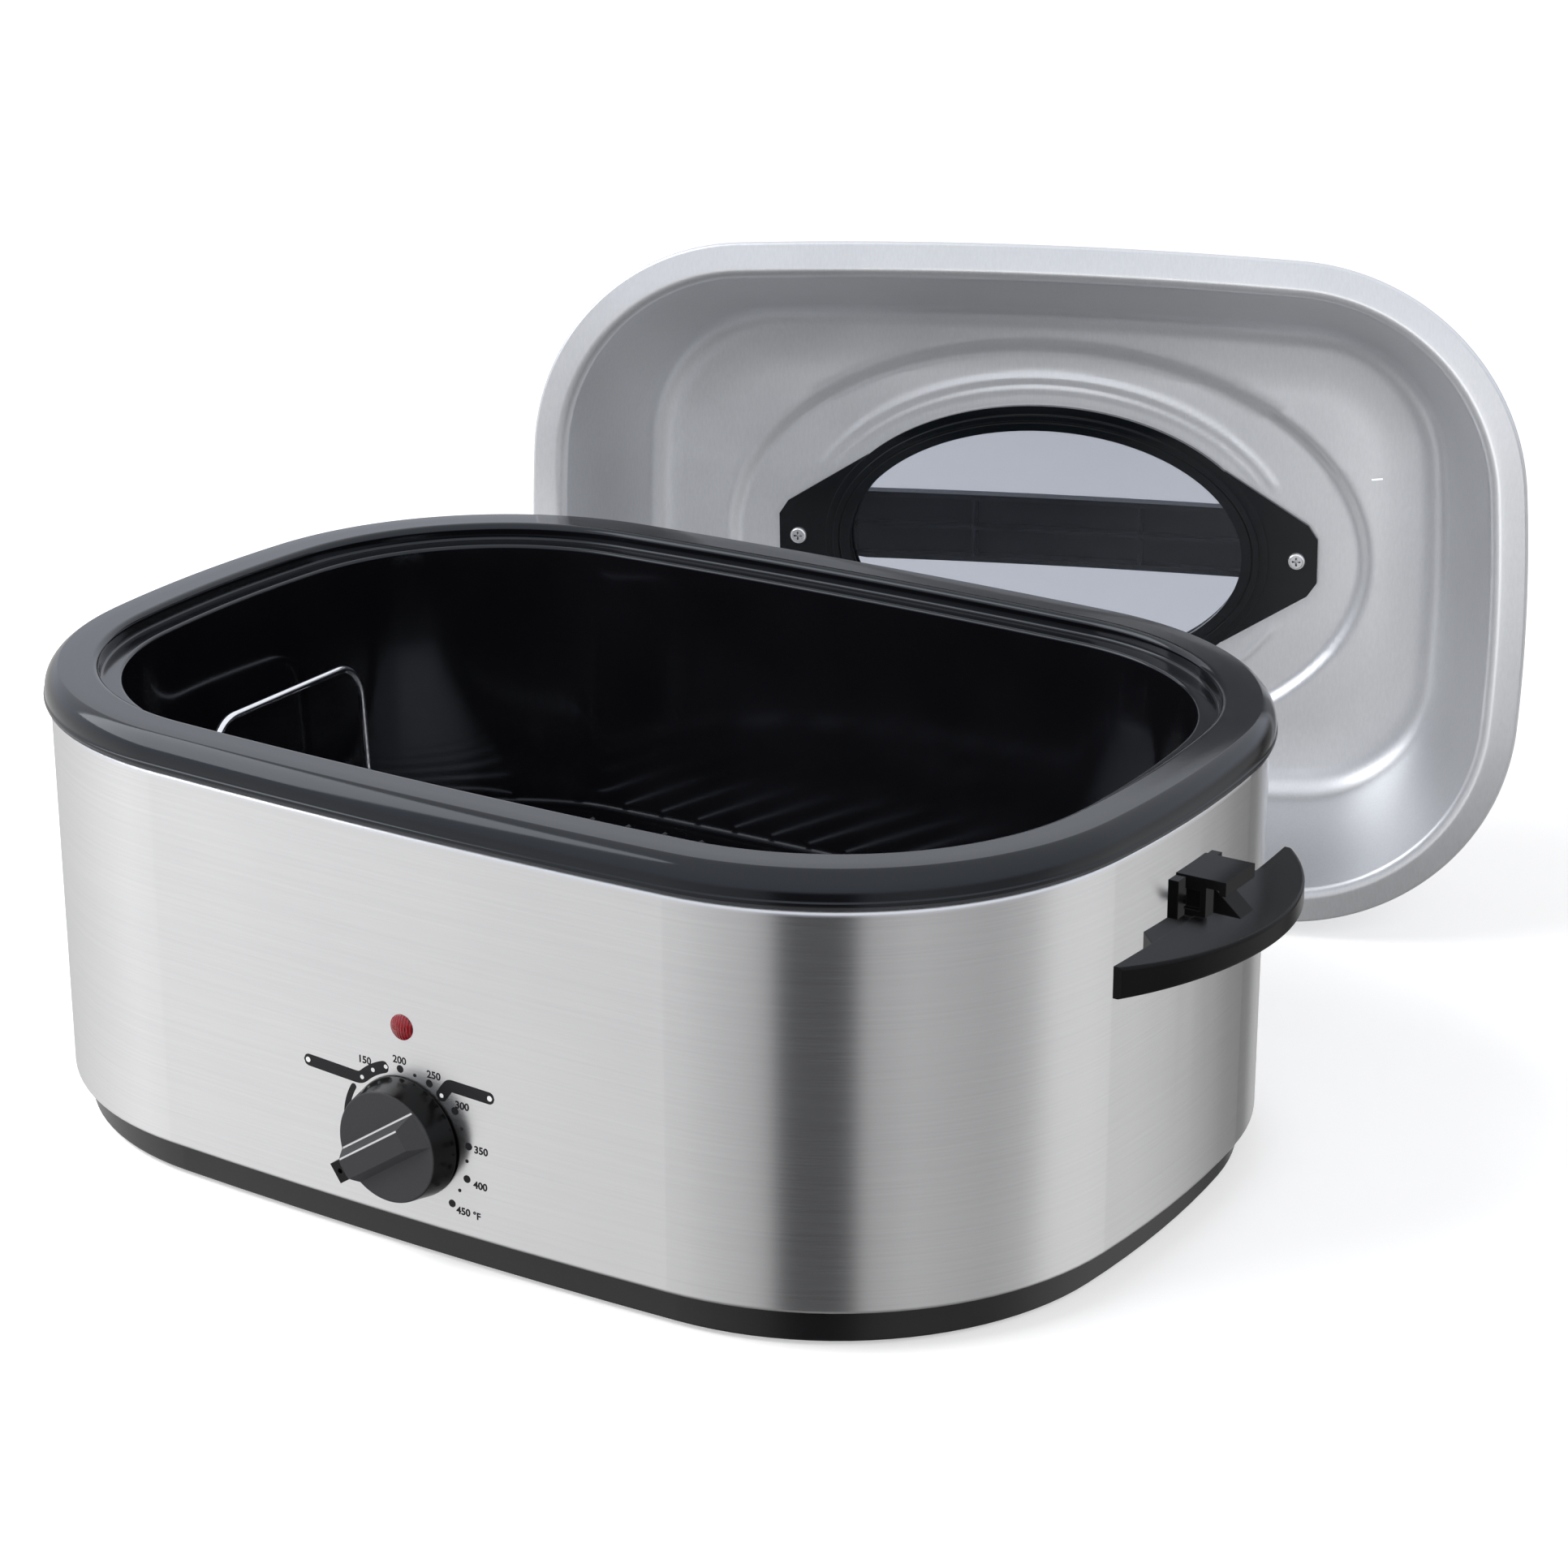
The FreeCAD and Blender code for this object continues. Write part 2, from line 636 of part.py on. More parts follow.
def bottom_cover():
    """Steel plate that closes the body from below, with rows of air slots."""
    plate = slab(BODY_SIZE, -BASE_INSET - BASE_WALL - 0.5, COVER_Z, COVER_TOP_Z)
    holes = [rod(V(0, 0, 0), V(0, 0, 40), STUD_RADIUS + FIT_GAP)]
    for x, y in base_screw_places() + list(foot_places().values()):
        holes.append(rod(V(x, y, 0), V(x, y, 30), SCREW_RADIUS + FIT_GAP))
    for side in (-1, 1):
        for row in range(VENT_COUNT):
            x = side * (VENT_START_X + VENT_PITCH * row)
            half = VENT_WIDTH / 2
            holes.append(box(x - half, x + half, -VENT_LENGTH / 2, VENT_LENGTH / 2, 0, 30))
    return cut_all(plate, holes)


def foot(x, y):
    """Rubber foot: a tapered cylinder with a counterbore for its screw."""
    body = Part.makeCone(FOOT_RADIUS - FOOT_TAPER, FOOT_RADIUS, COVER_Z - FIT_GAP, V(x, y, 0))
    body = body.cut(Part.makeCylinder(SCREW_HEAD_RADIUS + 0.6, FOOT_BORE_DEPTH, V(x, y, 0)))
    return body.cut(rod(V(x, y, -1), V(x, y, 30), SCREW_RADIUS + FIT_GAP))


def foot_screws():
    """One screw up through each foot into the cover plate."""
    solids = []
    for x, y in foot_places().values():
        seat = V(x, y, FOOT_BORE_DEPTH - FIT_GAP)
        tip = V(x, y, COVER_TOP_Z + 3)
        solids.append(screw(tip, seat, SCREW_RADIUS, SCREW_HEAD_RADIUS, SCREW_HEAD_HEIGHT))
    return Part.makeCompound(solids)


def base_screws():
    """Screws that hold the cover and the base ring to the shell's bottom flange."""
    solids = []
    for x, y in base_screw_places():
        tip = V(x, y, SHELL_BOTTOM_Z + 3)
        seat = V(x, y, COVER_Z - FIT_GAP)
        solids.append(screw(tip, seat, SCREW_RADIUS, SCREW_HEAD_RADIUS, SCREW_HEAD_HEIGHT))
    return Part.makeCompound(solids)


def inner_liner():
    """Fixed well that the pan drops into; its flange lies on the shell and carries the pan's skirt."""
    inside = LINER_INSIDE
    outside = LINER_OUTSIDE
    edge = LINER_FLANGE_OVERHANG
    top = LINER_TOP_Z
    under = top - LINER_FLANGE_THICKNESS
    floor = LINER_FLOOR_Z
    t = LINER_THICKNESS
    bend = LINER_FLOOR_ROUND
    bend_centre = (inside - bend, floor + t + bend)
    profile = [
        (edge, top),
        (inside, top),
        (inside, floor + t + bend),
        (*round_through(bend_centre, bend, -45), inside - bend, floor + t),
        (inside - bend, floor),
        (*round_through(bend_centre, bend + t, -45), outside, floor + t + bend),
        (outside, under),
        (edge, under),
    ]
    wall = swept_ring(BODY_SIZE, profile)
    bottom = slab(BODY_SIZE, inside - bend, floor, floor + t)
    return fused([wall, bottom])


def heater_band():
    """Flat heating band wrapped round the well."""
    return ring(BODY_SIZE, HEATER_OUTSIDE, LINER_OUTSIDE, HEATER_BOTTOM_Z, HEATER_BOTTOM_Z + HEATER_HEIGHT)


def heater_clamp(z):
    """Steel strap that pulls the band against the well."""
    inner = HEATER_OUTSIDE + FIT_GAP
    return ring(BODY_SIZE, inner + CLAMP_THICKNESS, inner, z, z + CLAMP_WIDTH)


def insulation_blanket():
    """Glass-fibre blanket round the band, open at the thermostat and lamp, the terminals and the fuse."""
    blanket = ring(BODY_SIZE, BLANKET_OUTSIDE, BLANKET_INSIDE, LINER_FLOOR_Z, SHELL_TOP_Z - BLANKET_TOP_GAP)
    half_front = BLANKET_FRONT_OPENING / 2
    half_back = BLANKET_BACK_OPENING / 2
    half_fuse = FUSE_LENGTH / 2 + 5.0
    fuse_height = FUSE_RISE - 2.0
    back = -FRONT_Y
    openings = [
        box(PANEL_X - half_front, PANEL_X + half_front, FRONT_Y, FRONT_Y + 60, 0, LAMP_Z + BLANKET_TOP_GAP),
        box(GLAND_X - half_back, GLAND_X + half_back, back - 60, back, 0, GLAND_Z * 2),
        box(-half_fuse, half_fuse, back - 60, back, FUSE_Z - fuse_height, FUSE_Z + fuse_height),
    ]
    return cut_all(blanket, openings)


def insulation_floor():
    """Glass-fibre pad under the well, round the tie stud."""
    low = LINER_FLOOR_Z - FLOOR_PAD_THICKNESS
    pad = slab(BODY_SIZE, LINER_OUTSIDE - 2 * LINER_FLOOR_ROUND, low, LINER_FLOOR_Z)
    return pad.cut(rod(V(0, 0, 0), V(0, 0, 60), STUD_FOOT_RADIUS + 2.0))


def liner_stud():
    """Stud welded under the well, with a round foot."""
    stud = rod(V(0, 0, COVER_Z - NUT_HEIGHT - 2.0), V(0, 0, LINER_FLOOR_Z), STUD_RADIUS)
    plate = rod(V(0, 0, LINER_FLOOR_Z - STUD_FOOT_THICKNESS), V(0, 0, LINER_FLOOR_Z), STUD_FOOT_RADIUS)
    return fused([stud, plate])


def stud_spacer():
    """Tube that keeps the cover plate at its distance from the well."""
    start = V(0, 0, COVER_TOP_Z)
    end = V(0, 0, LINER_FLOOR_Z - STUD_FOOT_THICKNESS)
    return hollow_rod(start, end, STUD_RADIUS + SPACER_WALL, STUD_RADIUS + FIT_GAP)


def stud_nut():
    """Hexagon nut under the cover plate."""
    corners = []
    for step in range(6):
        turn = step * math.pi / 3
        corners.append((NUT_RADIUS * math.cos(turn), NUT_RADIUS * math.sin(turn), COVER_Z - NUT_HEIGHT))
    return polygon(corners, NUT_HEIGHT).cut(rod(V(0, 0, 0), V(0, 0, 30), STUD_RADIUS + FIT_GAP))


def thermostat_bracket():
    """Steel bracket: a plate behind the panel with two bent legs."""
    back = THERMOSTAT_Y
    y0 = back - BRACKET_THICKNESS
    half = THERMOSTAT_WIDTH / 2 + BRACKET_EAR
    high = THERMOSTAT_HEIGHT / 2
    plate = box(-half, half, y0, back, DIAL_Z - high, DIAL_Z + high)
    front = FRONT_Y + SHELL_THICKNESS + half ** 2 / (2 * SIDE_BOW_RADIUS) + FIT_GAP
    legs = []
    for side in (-1, 1):
        x0, x1 = sorted((side * half, side * (half - BRACKET_THICKNESS)))
        legs.append(box(x0, x1, front, back, DIAL_Z - high, DIAL_Z + high))
    holes = [rod(V(0, y0 - 1, DIAL_Z), V(0, back + 1, DIAL_Z), THERMOSTAT_COLLAR + FIT_GAP)]
    for x in THERMOSTAT_SCREW_X:
        start = V(x, y0 - 1, DIAL_Z)
        holes.append(rod(start, V(x, back + 1, DIAL_Z), SMALL_SCREW_RADIUS + FIT_GAP))
    return cut_all(fused([plate] + legs), holes)


def thermostat_body():
    """Ceramic switch body with a collar that guides the shaft."""
    y0 = THERMOSTAT_Y
    y1 = y0 + THERMOSTAT_DEPTH
    half = THERMOSTAT_WIDTH / 2
    high = THERMOSTAT_HEIGHT / 2
    body = box(-half, half, y0, y1, DIAL_Z - high, DIAL_Z + high)
    collar = rod(V(0, y0 - BRACKET_THICKNESS - 1.0, DIAL_Z), V(0, y0, DIAL_Z), THERMOSTAT_COLLAR)
    holes = [rod(V(0, y0 - 10, DIAL_Z), V(0, y1 - 4, DIAL_Z), SHAFT_RADIUS + FIT_GAP)]
    for x in THERMOSTAT_SCREW_X:
        end = V(x, y0 + THERMOSTAT_SCREW_DEPTH + 1.0, DIAL_Z)
        holes.append(rod(V(x, y0 - 1, DIAL_Z), end, SMALL_SCREW_RADIUS + FIT_GAP))
    return cut_all(fused([body, collar]), holes)


def thermostat_sensor():
    """Brass heat collector between the switch body and the well, below the band."""
    y0 = THERMOSTAT_Y + THERMOSTAT_DEPTH
    y1 = FRONT_Y - LINER_OUTSIDE - 0.2
    top = HEATER_BOTTOM_Z - 4.0
    plate = box(-9, 9, y1 - 1.5, y1, top - 18, top)
    post = box(-4, 4, y0, y1 - 1.5, top - 13, top - 5)
    return fused([plate, post])


def thermostat_screws():
    """Two small screws through the panel and the bracket into the switch body, hidden by the knob."""
    solids = []
    for x in THERMOSTAT_SCREW_X:
        seat = V(x, FRONT_Y - FIT_GAP, DIAL_Z)
        tip = V(x, THERMOSTAT_Y + THERMOSTAT_SCREW_DEPTH, DIAL_Z)
        solids.append(screw(tip, seat, SMALL_SCREW_RADIUS, SMALL_SCREW_HEAD_RADIUS, SMALL_SCREW_HEAD_HEIGHT))
    return Part.makeCompound(solids)


def indicator_lens():
    """Red lens: a low dome through the panel with a flange behind it."""
    front = FRONT_Y
    shoulder = 0.4
    barrel = rod(V(0, front - shoulder, LAMP_Z), V(0, front + 8, LAMP_Z), LENS_RADIUS)
    behind = V(0, front + SHELL_THICKNESS + FIT_GAP, LAMP_Z)
    flange = rod(behind, V(0, front + 3, LAMP_Z), LENS_RADIUS + LENS_FLANGE)
    rise = LENS_DOME - shoulder
    sphere_radius = (LENS_RADIUS ** 2 + rise ** 2) / (2 * rise)
    sphere = Part.makeSphere(sphere_radius, V(0, front - LENS_DOME + sphere_radius, LAMP_Z))
    cap = sphere.common(rod(V(0, front - 5, LAMP_Z), V(0, front - shoulder, LAMP_Z), LENS_RADIUS))
    lens = fused([barrel, flange, cap])
    return lens.cut(rod(V(0, front + 1.5, LAMP_Z), V(0, front + 9, LAMP_Z), LAMP_RADIUS + FIT_GAP))


def indicator_lamp():
    """Neon lamp with its body behind the lens."""
    start = V(0, FRONT_Y + 5.2, LAMP_Z)
    tip = Part.makeSphere(LAMP_RADIUS, start)
    return fused([rod(start, V(0, FRONT_Y + 18, LAMP_Z), LAMP_RADIUS), tip])


def lamp_clip():
    """Push-on spring ring that holds the lens against the panel."""
    start = V(0, FRONT_Y + 3, LAMP_Z)
    return hollow_rod(start, V(0, FRONT_Y + 4.2, LAMP_Z), LENS_RADIUS + 4.0, LENS_RADIUS + FIT_GAP)


def cord_bushing():
    """Round bushing in the back wall, open for the supply cord."""
    y_out = back_wall(GLAND_X, 0.0)
    start = V(GLAND_X, y_out - 6, GLAND_Z)
    end = V(GLAND_X, y_out + 3.5, GLAND_Z)
    barrel = rod(start, end, GLAND_RADIUS)
    rim = rod(V(GLAND_X, y_out + 0.5, GLAND_Z), end, GLAND_RADIUS + GLAND_LIP)
    return fused([barrel, rim]).cut(rod(start - V(0, 1, 0), end + V(0, 1, 0), GLAND_BORE))


def terminal_back():
    """The y of the terminal block's back face, clear of the base ring's flange."""
    return back_wall(GLAND_X + TERMINAL_LENGTH / 2, -BASE_INSET - BASE_FLANGE_WIDTH) - 1.0


def terminal_block():
    """Ceramic block on the bottom cover where the supply wires join."""
    y1 = terminal_back()
    y0 = y1 - TERMINAL_DEPTH
    half = TERMINAL_LENGTH / 2
    top = COVER_TOP_Z + TERMINAL_HEIGHT
    block = box(GLAND_X - half, GLAND_X + half, y0, y1, COVER_TOP_Z, top)
    slots = []
    for x in (GLAND_X - TERMINAL_PITCH, GLAND_X, GLAND_X + TERMINAL_PITCH):
        slots.append(box(x - 3, x + 3, y0 + 3, y1 - 3, top - 6, top + 6))
    return cut_all(block, slots)


def terminal_screws():
    """Brass clamping screws in the block."""
    y = terminal_back() - TERMINAL_DEPTH / 2
    low = COVER_TOP_Z + TERMINAL_HEIGHT - 6
    solids = []
    for x in (GLAND_X - TERMINAL_PITCH, GLAND_X, GLAND_X + TERMINAL_PITCH):
        solids.append(rod(V(x, y, low), V(x, y, low + 4), TERMINAL_SCREW_RADIUS))
    return Part.makeCompound(solids)


def thermal_fuse():
    """One-shot fuse clipped to the well above the band."""
    wall = back_wall(0.0, LINER_OUTSIDE) + 0.1
    y = wall + FUSE_RADIUS + 0.5
    half = FUSE_LENGTH / 2
    fuse = rod(V(-half, y, FUSE_Z), V(half, y, FUSE_Z), FUSE_RADIUS)
    return fuse.cut(box(-half - 1, half + 1, wall - 5, wall, FUSE_Z - 5, FUSE_Z + 5))


def fuse_clip():
    """Steel saddle over the fuse."""
    wall = back_wall(0.0, LINER_OUTSIDE) + 0.1
    y = wall + FUSE_RADIUS + 0.5
    half = FUSE_CLIP_WIDTH / 2
    bore = FUSE_RADIUS + FIT_GAP
    outer = bore + FUSE_CLIP_THICKNESS
    saddle = rod(V(-half, y, FUSE_Z), V(half, y, FUSE_Z), outer)
    saddle = saddle.fuse(box(-half, half, wall, y, FUSE_Z - outer, FUSE_Z + outer))
    saddle = saddle.fuse(box(-half, half, wall, wall + FUSE_CLIP_THICKNESS, FUSE_Z - 10, FUSE_Z + 10))
    saddle = saddle.cut(rod(V(-half - 1, y, FUSE_Z), V(half + 1, y, FUSE_Z), bore))
    saddle = saddle.cut(box(-half - 1, half + 1, wall - 1, y, FUSE_Z - bore, FUSE_Z + bore))
    return saddle.removeSplitter()


# -------------------------------------------------------------- side handles

def handle_right():
    """Moulded grip: a crescent plate, a post with sunk panels, and a hooked tab on top."""
    wall = HALF_LENGTH
    inner_x = wall + HANDLE_WALL_GAP
    outer_x = wall + HANDLE_REACH
    tip_y = HANDLE_SPAN / 2
    top = HANDLE_TOP_Z
    bottom = top - HANDLE_TIP_THICKNESS
    tip_inner = inner_x - HANDLE_TIP_SETBACK
    tip_outer = tip_inner + HANDLE_TIP_WIDTH
    edges = [
        arc(V(tip_outer, -tip_y, bottom), V(outer_x, 0, bottom), V(tip_outer, tip_y, bottom)),
        line(V(tip_outer, tip_y, bottom), V(tip_inner, tip_y, bottom)),
        arc(V(tip_inner, tip_y, bottom), V(inner_x, 0, bottom), V(tip_inner, -tip_y, bottom)),
        line(V(tip_inner, -tip_y, bottom), V(tip_outer, -tip_y, bottom)),
    ]
    plate = Part.Face(Part.Wire(edges)).extrude(V(0, 0, HANDLE_TIP_THICKNESS))
    rise = HANDLE_TIP_THICKNESS - HANDLE_MID_THICKNESS
    arch_radius = (tip_y ** 2 + rise ** 2) / (2 * rise)
    arch_z = bottom + rise - arch_radius
    plate = plate.cut(rod(V(tip_inner - 5, 0, arch_z), V(outer_x + 5, 0, arch_z), arch_radius))
    outer_width = outer_x - tip_outer
    long_arcs = [e for e in plate.Edges if e.BoundBox.XLength > outer_width * 0.9]
    plate = plate.makeFillet(HANDLE_EDGE_ROUND, long_arcs)
    low = top - HANDLE_MID_THICKNESS + 1.5
    web = polygon([
        (wall - 6, -HANDLE_WEB_ROOT, low), (inner_x + 2, -HANDLE_WEB_END, low),
        (inner_x + 2, HANDLE_WEB_END, low), (wall - 6, HANDLE_WEB_ROOT, low),
    ], top - low - 0.5)
    half_tab = HANDLE_TAB_WIDTH / 2
    half_back = HANDLE_BACK_WIDTH / 2
    tab_top = HANDLE_TAB_Z
    tab_x = wall + HANDLE_TAB_REACH
    tab_low = tab_top - HANDLE_TAB_THICKNESS
    post_x = wall + HANDLE_POST_REACH
    backing = box(wall - 6, wall + HANDLE_BACK_REACH, -half_back, half_back, low, tab_top - 1.0)
    post = box(wall - 6, post_x, -half_tab, half_tab, low, tab_top)
    tab = box(wall - 6, tab_x, -half_tab, half_tab, tab_low, tab_top)
    lip = box(tab_x - HANDLE_TAB_LIP, tab_x, -half_tab, half_tab, tab_low - 2.2, tab_top)
    half_wedge = HANDLE_WEDGE_WIDTH / 2
    wedge_points = [
        V(post_x - 1, -half_wedge, top - 1),
        V(post_x + HANDLE_WEDGE_REACH, -half_wedge, top - 1),
        V(post_x - 1, -half_wedge, tab_low - 1.5),
    ]
    wedge = Part.Face(Part.makePolygon(wedge_points + wedge_points[:1])).extrude(V(0, HANDLE_WEDGE_WIDTH, 0))
    handle = fused([plate, web, backing, post, tab, lip, wedge])
    cutters = [slab(BODY_SIZE, FIT_GAP, low - 50, tab_top + 50)]
    for side in (-1, 1):
        y0, y1 = sorted((side * (half_tab + 1), side * (half_tab - HANDLE_POCKET)))
        cutters.append(box(wall + HANDLE_BACK_REACH - 1, post_x - 2.5, y0, y1, top + 2.5, tab_low - 2.0))
    for y in HANDLE_SCREW_Y:
        end = V(wall + HANDLE_POST_REACH - 2.0, y, HANDLE_SCREW_Z)
        cutters.append(rod(V(wall - 8, y, HANDLE_SCREW_Z), end, SCREW_RADIUS + FIT_GAP))
    return cut_all(handle, cutters).removeSplitter()


def handle_plate_right():
    """Steel strip inside the end wall that spreads the load of the handle's screws."""
    low = HANDLE_SCREW_Z - HANDLE_PLATE_HEIGHT / 2
    high = HANDLE_SCREW_Z + HANDLE_PLATE_HEIGHT / 2
    half = HANDLE_PLATE_WIDTH / 2
    outer = -SHELL_THICKNESS - FIT_GAP
    strip = ring(BODY_SIZE, outer, outer - HANDLE_PLATE_THICKNESS, low, high)
    strip = strip.common(box(HALF_LENGTH - 30, HALF_LENGTH + 5, -half, half, low, high))
    holes = []
    for y in HANDLE_SCREW_Y:
        start = V(HALF_LENGTH - 12, y, HANDLE_SCREW_Z)
        holes.append(rod(start, V(HALF_LENGTH + 5, y, HANDLE_SCREW_Z), SCREW_RADIUS + FIT_GAP))
    return cut_all(strip, holes)


def handle_screws_right():
    """Two screws from inside the body into the handle's post."""
    solids = []
    for y in HANDLE_SCREW_Y:
        seat_x = end_distance(y) - SHELL_THICKNESS - HANDLE_PLATE_THICKNESS - 3 * FIT_GAP
        seat = V(seat_x, y, HANDLE_SCREW_Z)
        tip = V(seat_x + HANDLE_SCREW_LENGTH, y, HANDLE_SCREW_Z)
        solids.append(screw(tip, seat, SCREW_RADIUS, SCREW_HEAD_RADIUS, SCREW_HEAD_HEIGHT))
    return Part.makeCompound(solids)


# -------------------------------------------------------------------- knob

def facing_front(shape):
    """Turn a shape drawn with x right, y up and z outwards so that it faces the front, at the dial."""
    shape = shape.copy()
    shape.rotate(V(0, 0, 0), UP, OFF_ANGLE)
    shape.rotate(V(0, 0, 0), V(1, 0, 0), 90)
    shape.translate(V(0, FRONT_Y, DIAL_Z))
    return shape


def control_knob():
    """Hollow knob with a sloped skirt and a raised grip bar whose tip points to OFF."""
    back = KNOB_STANDOFF
    face = KNOB_DEPTH
    wall = KNOB_WALL
    depth = face - back
    body = Part.makeCone(KNOB_SKIRT_RADIUS, KNOB_FACE_RADIUS, depth, V(0, 0, back))
    face_edge = [e for e in body.Edges if abs(e.BoundBox.ZMin - face) < 0.01 and e.Length > KNOB_FACE_RADIUS]
    body = body.makeFillet(0.8, face_edge)
    hollow = Part.makeCone(KNOB_SKIRT_RADIUS - wall, KNOB_FACE_RADIUS - wall, depth - wall, V(0, 0, back))
    hub = rod(V(0, 0, back), V(0, 0, face - wall + 0.5), SHAFT_RADIUS + 3.0)
    bar_tail = -KNOB_FACE_RADIUS + 0.6
    bar_end = GRIP_TIP_REACH - 6.0
    grip_top = face + GRIP_HEIGHT
    half_base = GRIP_BASE_WIDTH / 2
    half_top = GRIP_TOP_WIDTH / 2
    top_tail = bar_tail * 0.55
    base = [V(u, v, face - 0.5) for u, v in
            ((bar_tail, -half_base), (bar_end, -half_base), (bar_end, half_base), (bar_tail, half_base))]
    top = [V(u, v, grip_top) for u, v in
           ((top_tail, -half_top), (bar_end, -half_top), (bar_end, half_top), (top_tail, half_top))]
    bar = Part.makeLoft([Part.makePolygon(loop + loop[:1]) for loop in (base, top)], True, True)
    bar = bar.common(Part.makeCylinder(KNOB_FACE_RADIUS - 0.3, 2 * face))
    tip = box(KNOB_FACE_RADIUS / 2, GRIP_TIP_REACH, -half_top, half_top, face - 5.0, grip_top).cut(hollow)
    knob = fused([body.cut(hollow), hub, bar, tip])
    hole_u = GRIP_TIP_REACH - 3.2
    tip_hole = rod(V(hole_u, 0, 0), V(hole_u, 0, 2 * face), GRIP_HOLE_RADIUS)
    shaft_hole = rod(V(0, 0, 0), V(0, 0, face - wall), SHAFT_RADIUS + FIT_GAP)
    return facing_front(cut_all(knob, [tip_hole, shaft_hole]))


def knob_shaft():
    """Steel shaft from the switch body into the knob's hub, with a flat at its end."""
    length = THERMOSTAT_Y + THERMOSTAT_DEPTH - 4.5 - FRONT_Y
    end = KNOB_DEPTH - KNOB_WALL - 0.6
    shaft = rod(V(0, 0, -length), V(0, 0, end), SHAFT_RADIUS)
    flat = SHAFT_RADIUS - SHAFT_FLAT
    return facing_front(shaft.cut(box(flat, SHAFT_RADIUS + 1, -4, 4, KNOB_STANDOFF + 1.0, KNOB_DEPTH)))


def knob_clip():
    """Leaf of spring steel on the shaft's flat, inside the hub."""
    flat = SHAFT_RADIUS - SHAFT_FLAT
    end = KNOB_DEPTH - KNOB_WALL - 1.0
    return facing_front(box(flat + 0.02, flat + 0.5, -1.6, 1.6, KNOB_STANDOFF + 1.5, end))


# --------------------------------------------------------------- pan and rack

def cook_pan():
    """Enamelled pan: hemmed skirt, round rim, flat land, step down to a seat, drafted wall, floor."""
    t = PAN_THICKNESS
    top = PAN_TOP_Z
    skirt = PAN_RIM_OVERHANG
    low = PAN_SKIRT_Z
    radius = PAN_RIM_RADIUS
    centre_x = skirt - radius
    edge = PAN_LAND_OUTER
    centre = (centre_x, top - math.sqrt(radius ** 2 - (edge - centre_x) ** 2))
    edge_angle = math.degrees(math.acos((edge - centre_x) / radius))
    inner_edge = centre_x + math.sqrt((radius - t) ** 2 - (top - t - centre[1]) ** 2)
    land = PAN_LAND_INNER
    corner = PAN_SEAT_CORNER
    bead = PAN_SEAT_ROUND
    seat = PAN_SEAT_Z
    wall = PAN_WALL_TOP
    foot = PAN_WALL_FOOT
    floor = PAN_FLOOR_Z
    bend = PAN_FLOOR_ROUND
    bend_centre = (foot - bend, floor + bend)
    step = land - corner
    profile = [
        (skirt - t, low),
        (skirt + PAN_HEM_SWELL, low),
        (skirt + PAN_HEM_SWELL, low + PAN_HEM_HEIGHT - 2 * PAN_HEM_SWELL),
        (skirt, low + PAN_HEM_HEIGHT - PAN_HEM_SWELL),
        (skirt, centre[1]),
        (*round_through(centre, radius, edge_angle / 2), edge, top),
        (land, top),
        (*round_through((land, top - corner), corner, 135), step, top - corner),
        (step, seat + bead),
        (*round_through((step - bead, seat + bead), bead, -45), step - bead, seat),
        (wall + bead, seat),
        (*round_through((wall + bead, seat - bead), bead, 135), wall, seat - bead),
        (foot, floor + bend),
        (*round_through(bend_centre, bend, -45), foot - bend, floor),
        (foot - bend, floor - t),
        (*round_through(bend_centre, bend + t, -45), foot + t, floor + bend),
        (wall + t, seat - t - bead),
        (wall + t + 1.0, seat - t),
        (step + t - 1.0, seat - t),
        (step + t, seat),
        (step + t, top - corner - 0.5),
        (land + 0.2, top - t),
        (inner_edge, top - t),
        (*round_through(centre, radius - t, edge_angle / 2), skirt - t, centre[1]),
    ]
    return fused([swept_ring(BODY_SIZE, profile), slab(BODY_SIZE, foot - bend, floor - t, floor)])


def rack_frame():
    """Welded ring of thick wire that carries the cross wires."""
    path = rounded_loop(BODY_SIZE, RACK_OFFSET, RACK_FRAME_Z)
    start = V(0, HALF_WIDTH + RACK_OFFSET, RACK_FRAME_Z)
    circle = Part.Wire([Part.Circle(start, V(1, 0, 0), RACK_WIRE_RADIUS).toShape()])
    return path.makePipeShell([circle], True, False)


def rack_reach(x):
    """Half the rack's width at a given x, to the middle of the frame wire."""
    strip = box(x - 0.05, x + 0.05, 0, SHELL_WIDTH, 0, 1)
    return slab(BODY_SIZE, RACK_OFFSET, 0, 1).common(strip).BoundBox.YMax


def rack_wires():
    """Cross wires on top of the frame, from the front of it to the back."""
    z = RACK_FRAME_Z + RACK_WIRE_RADIUS + RACK_CROSS_RADIUS + FIT_GAP
    half = HALF_LENGTH + RACK_OFFSET
    solids = []
    for index in range(RACK_CROSS_COUNT):
        x = half * (2 * (index + 1) / (RACK_CROSS_COUNT + 1) - 1)
        y = rack_reach(x)
        solids.append(rod(V(x, -y, z), V(x, y, z), RACK_CROSS_RADIUS))
    return Part.makeCompound(solids)


def rack_legs():
    """Four U-shaped feet under the frame that hold the rack above the pan's floor."""
    low = PAN_FLOOR_Z + REST_GAP + RACK_CROSS_RADIUS
    high = RACK_FRAME_Z - RACK_WIRE_RADIUS - FIT_GAP
    y = back_wall(RACK_LEG_X, RACK_OFFSET)
    half = RACK_LEG_WIDTH / 2
    solids = []
    for x in (-RACK_LEG_X, RACK_LEG_X):
        for side in (-1, 1):
            near = (x - half, side * y)
            far = (x + half, side * y)
            points = [V(*near, high), V(*near, low), V(*far, low), V(*far, high)]
            solids.append(bent_wire(points, RACK_LEG_BEND, RACK_CROSS_RADIUS))
    return Part.makeCompound(solids)


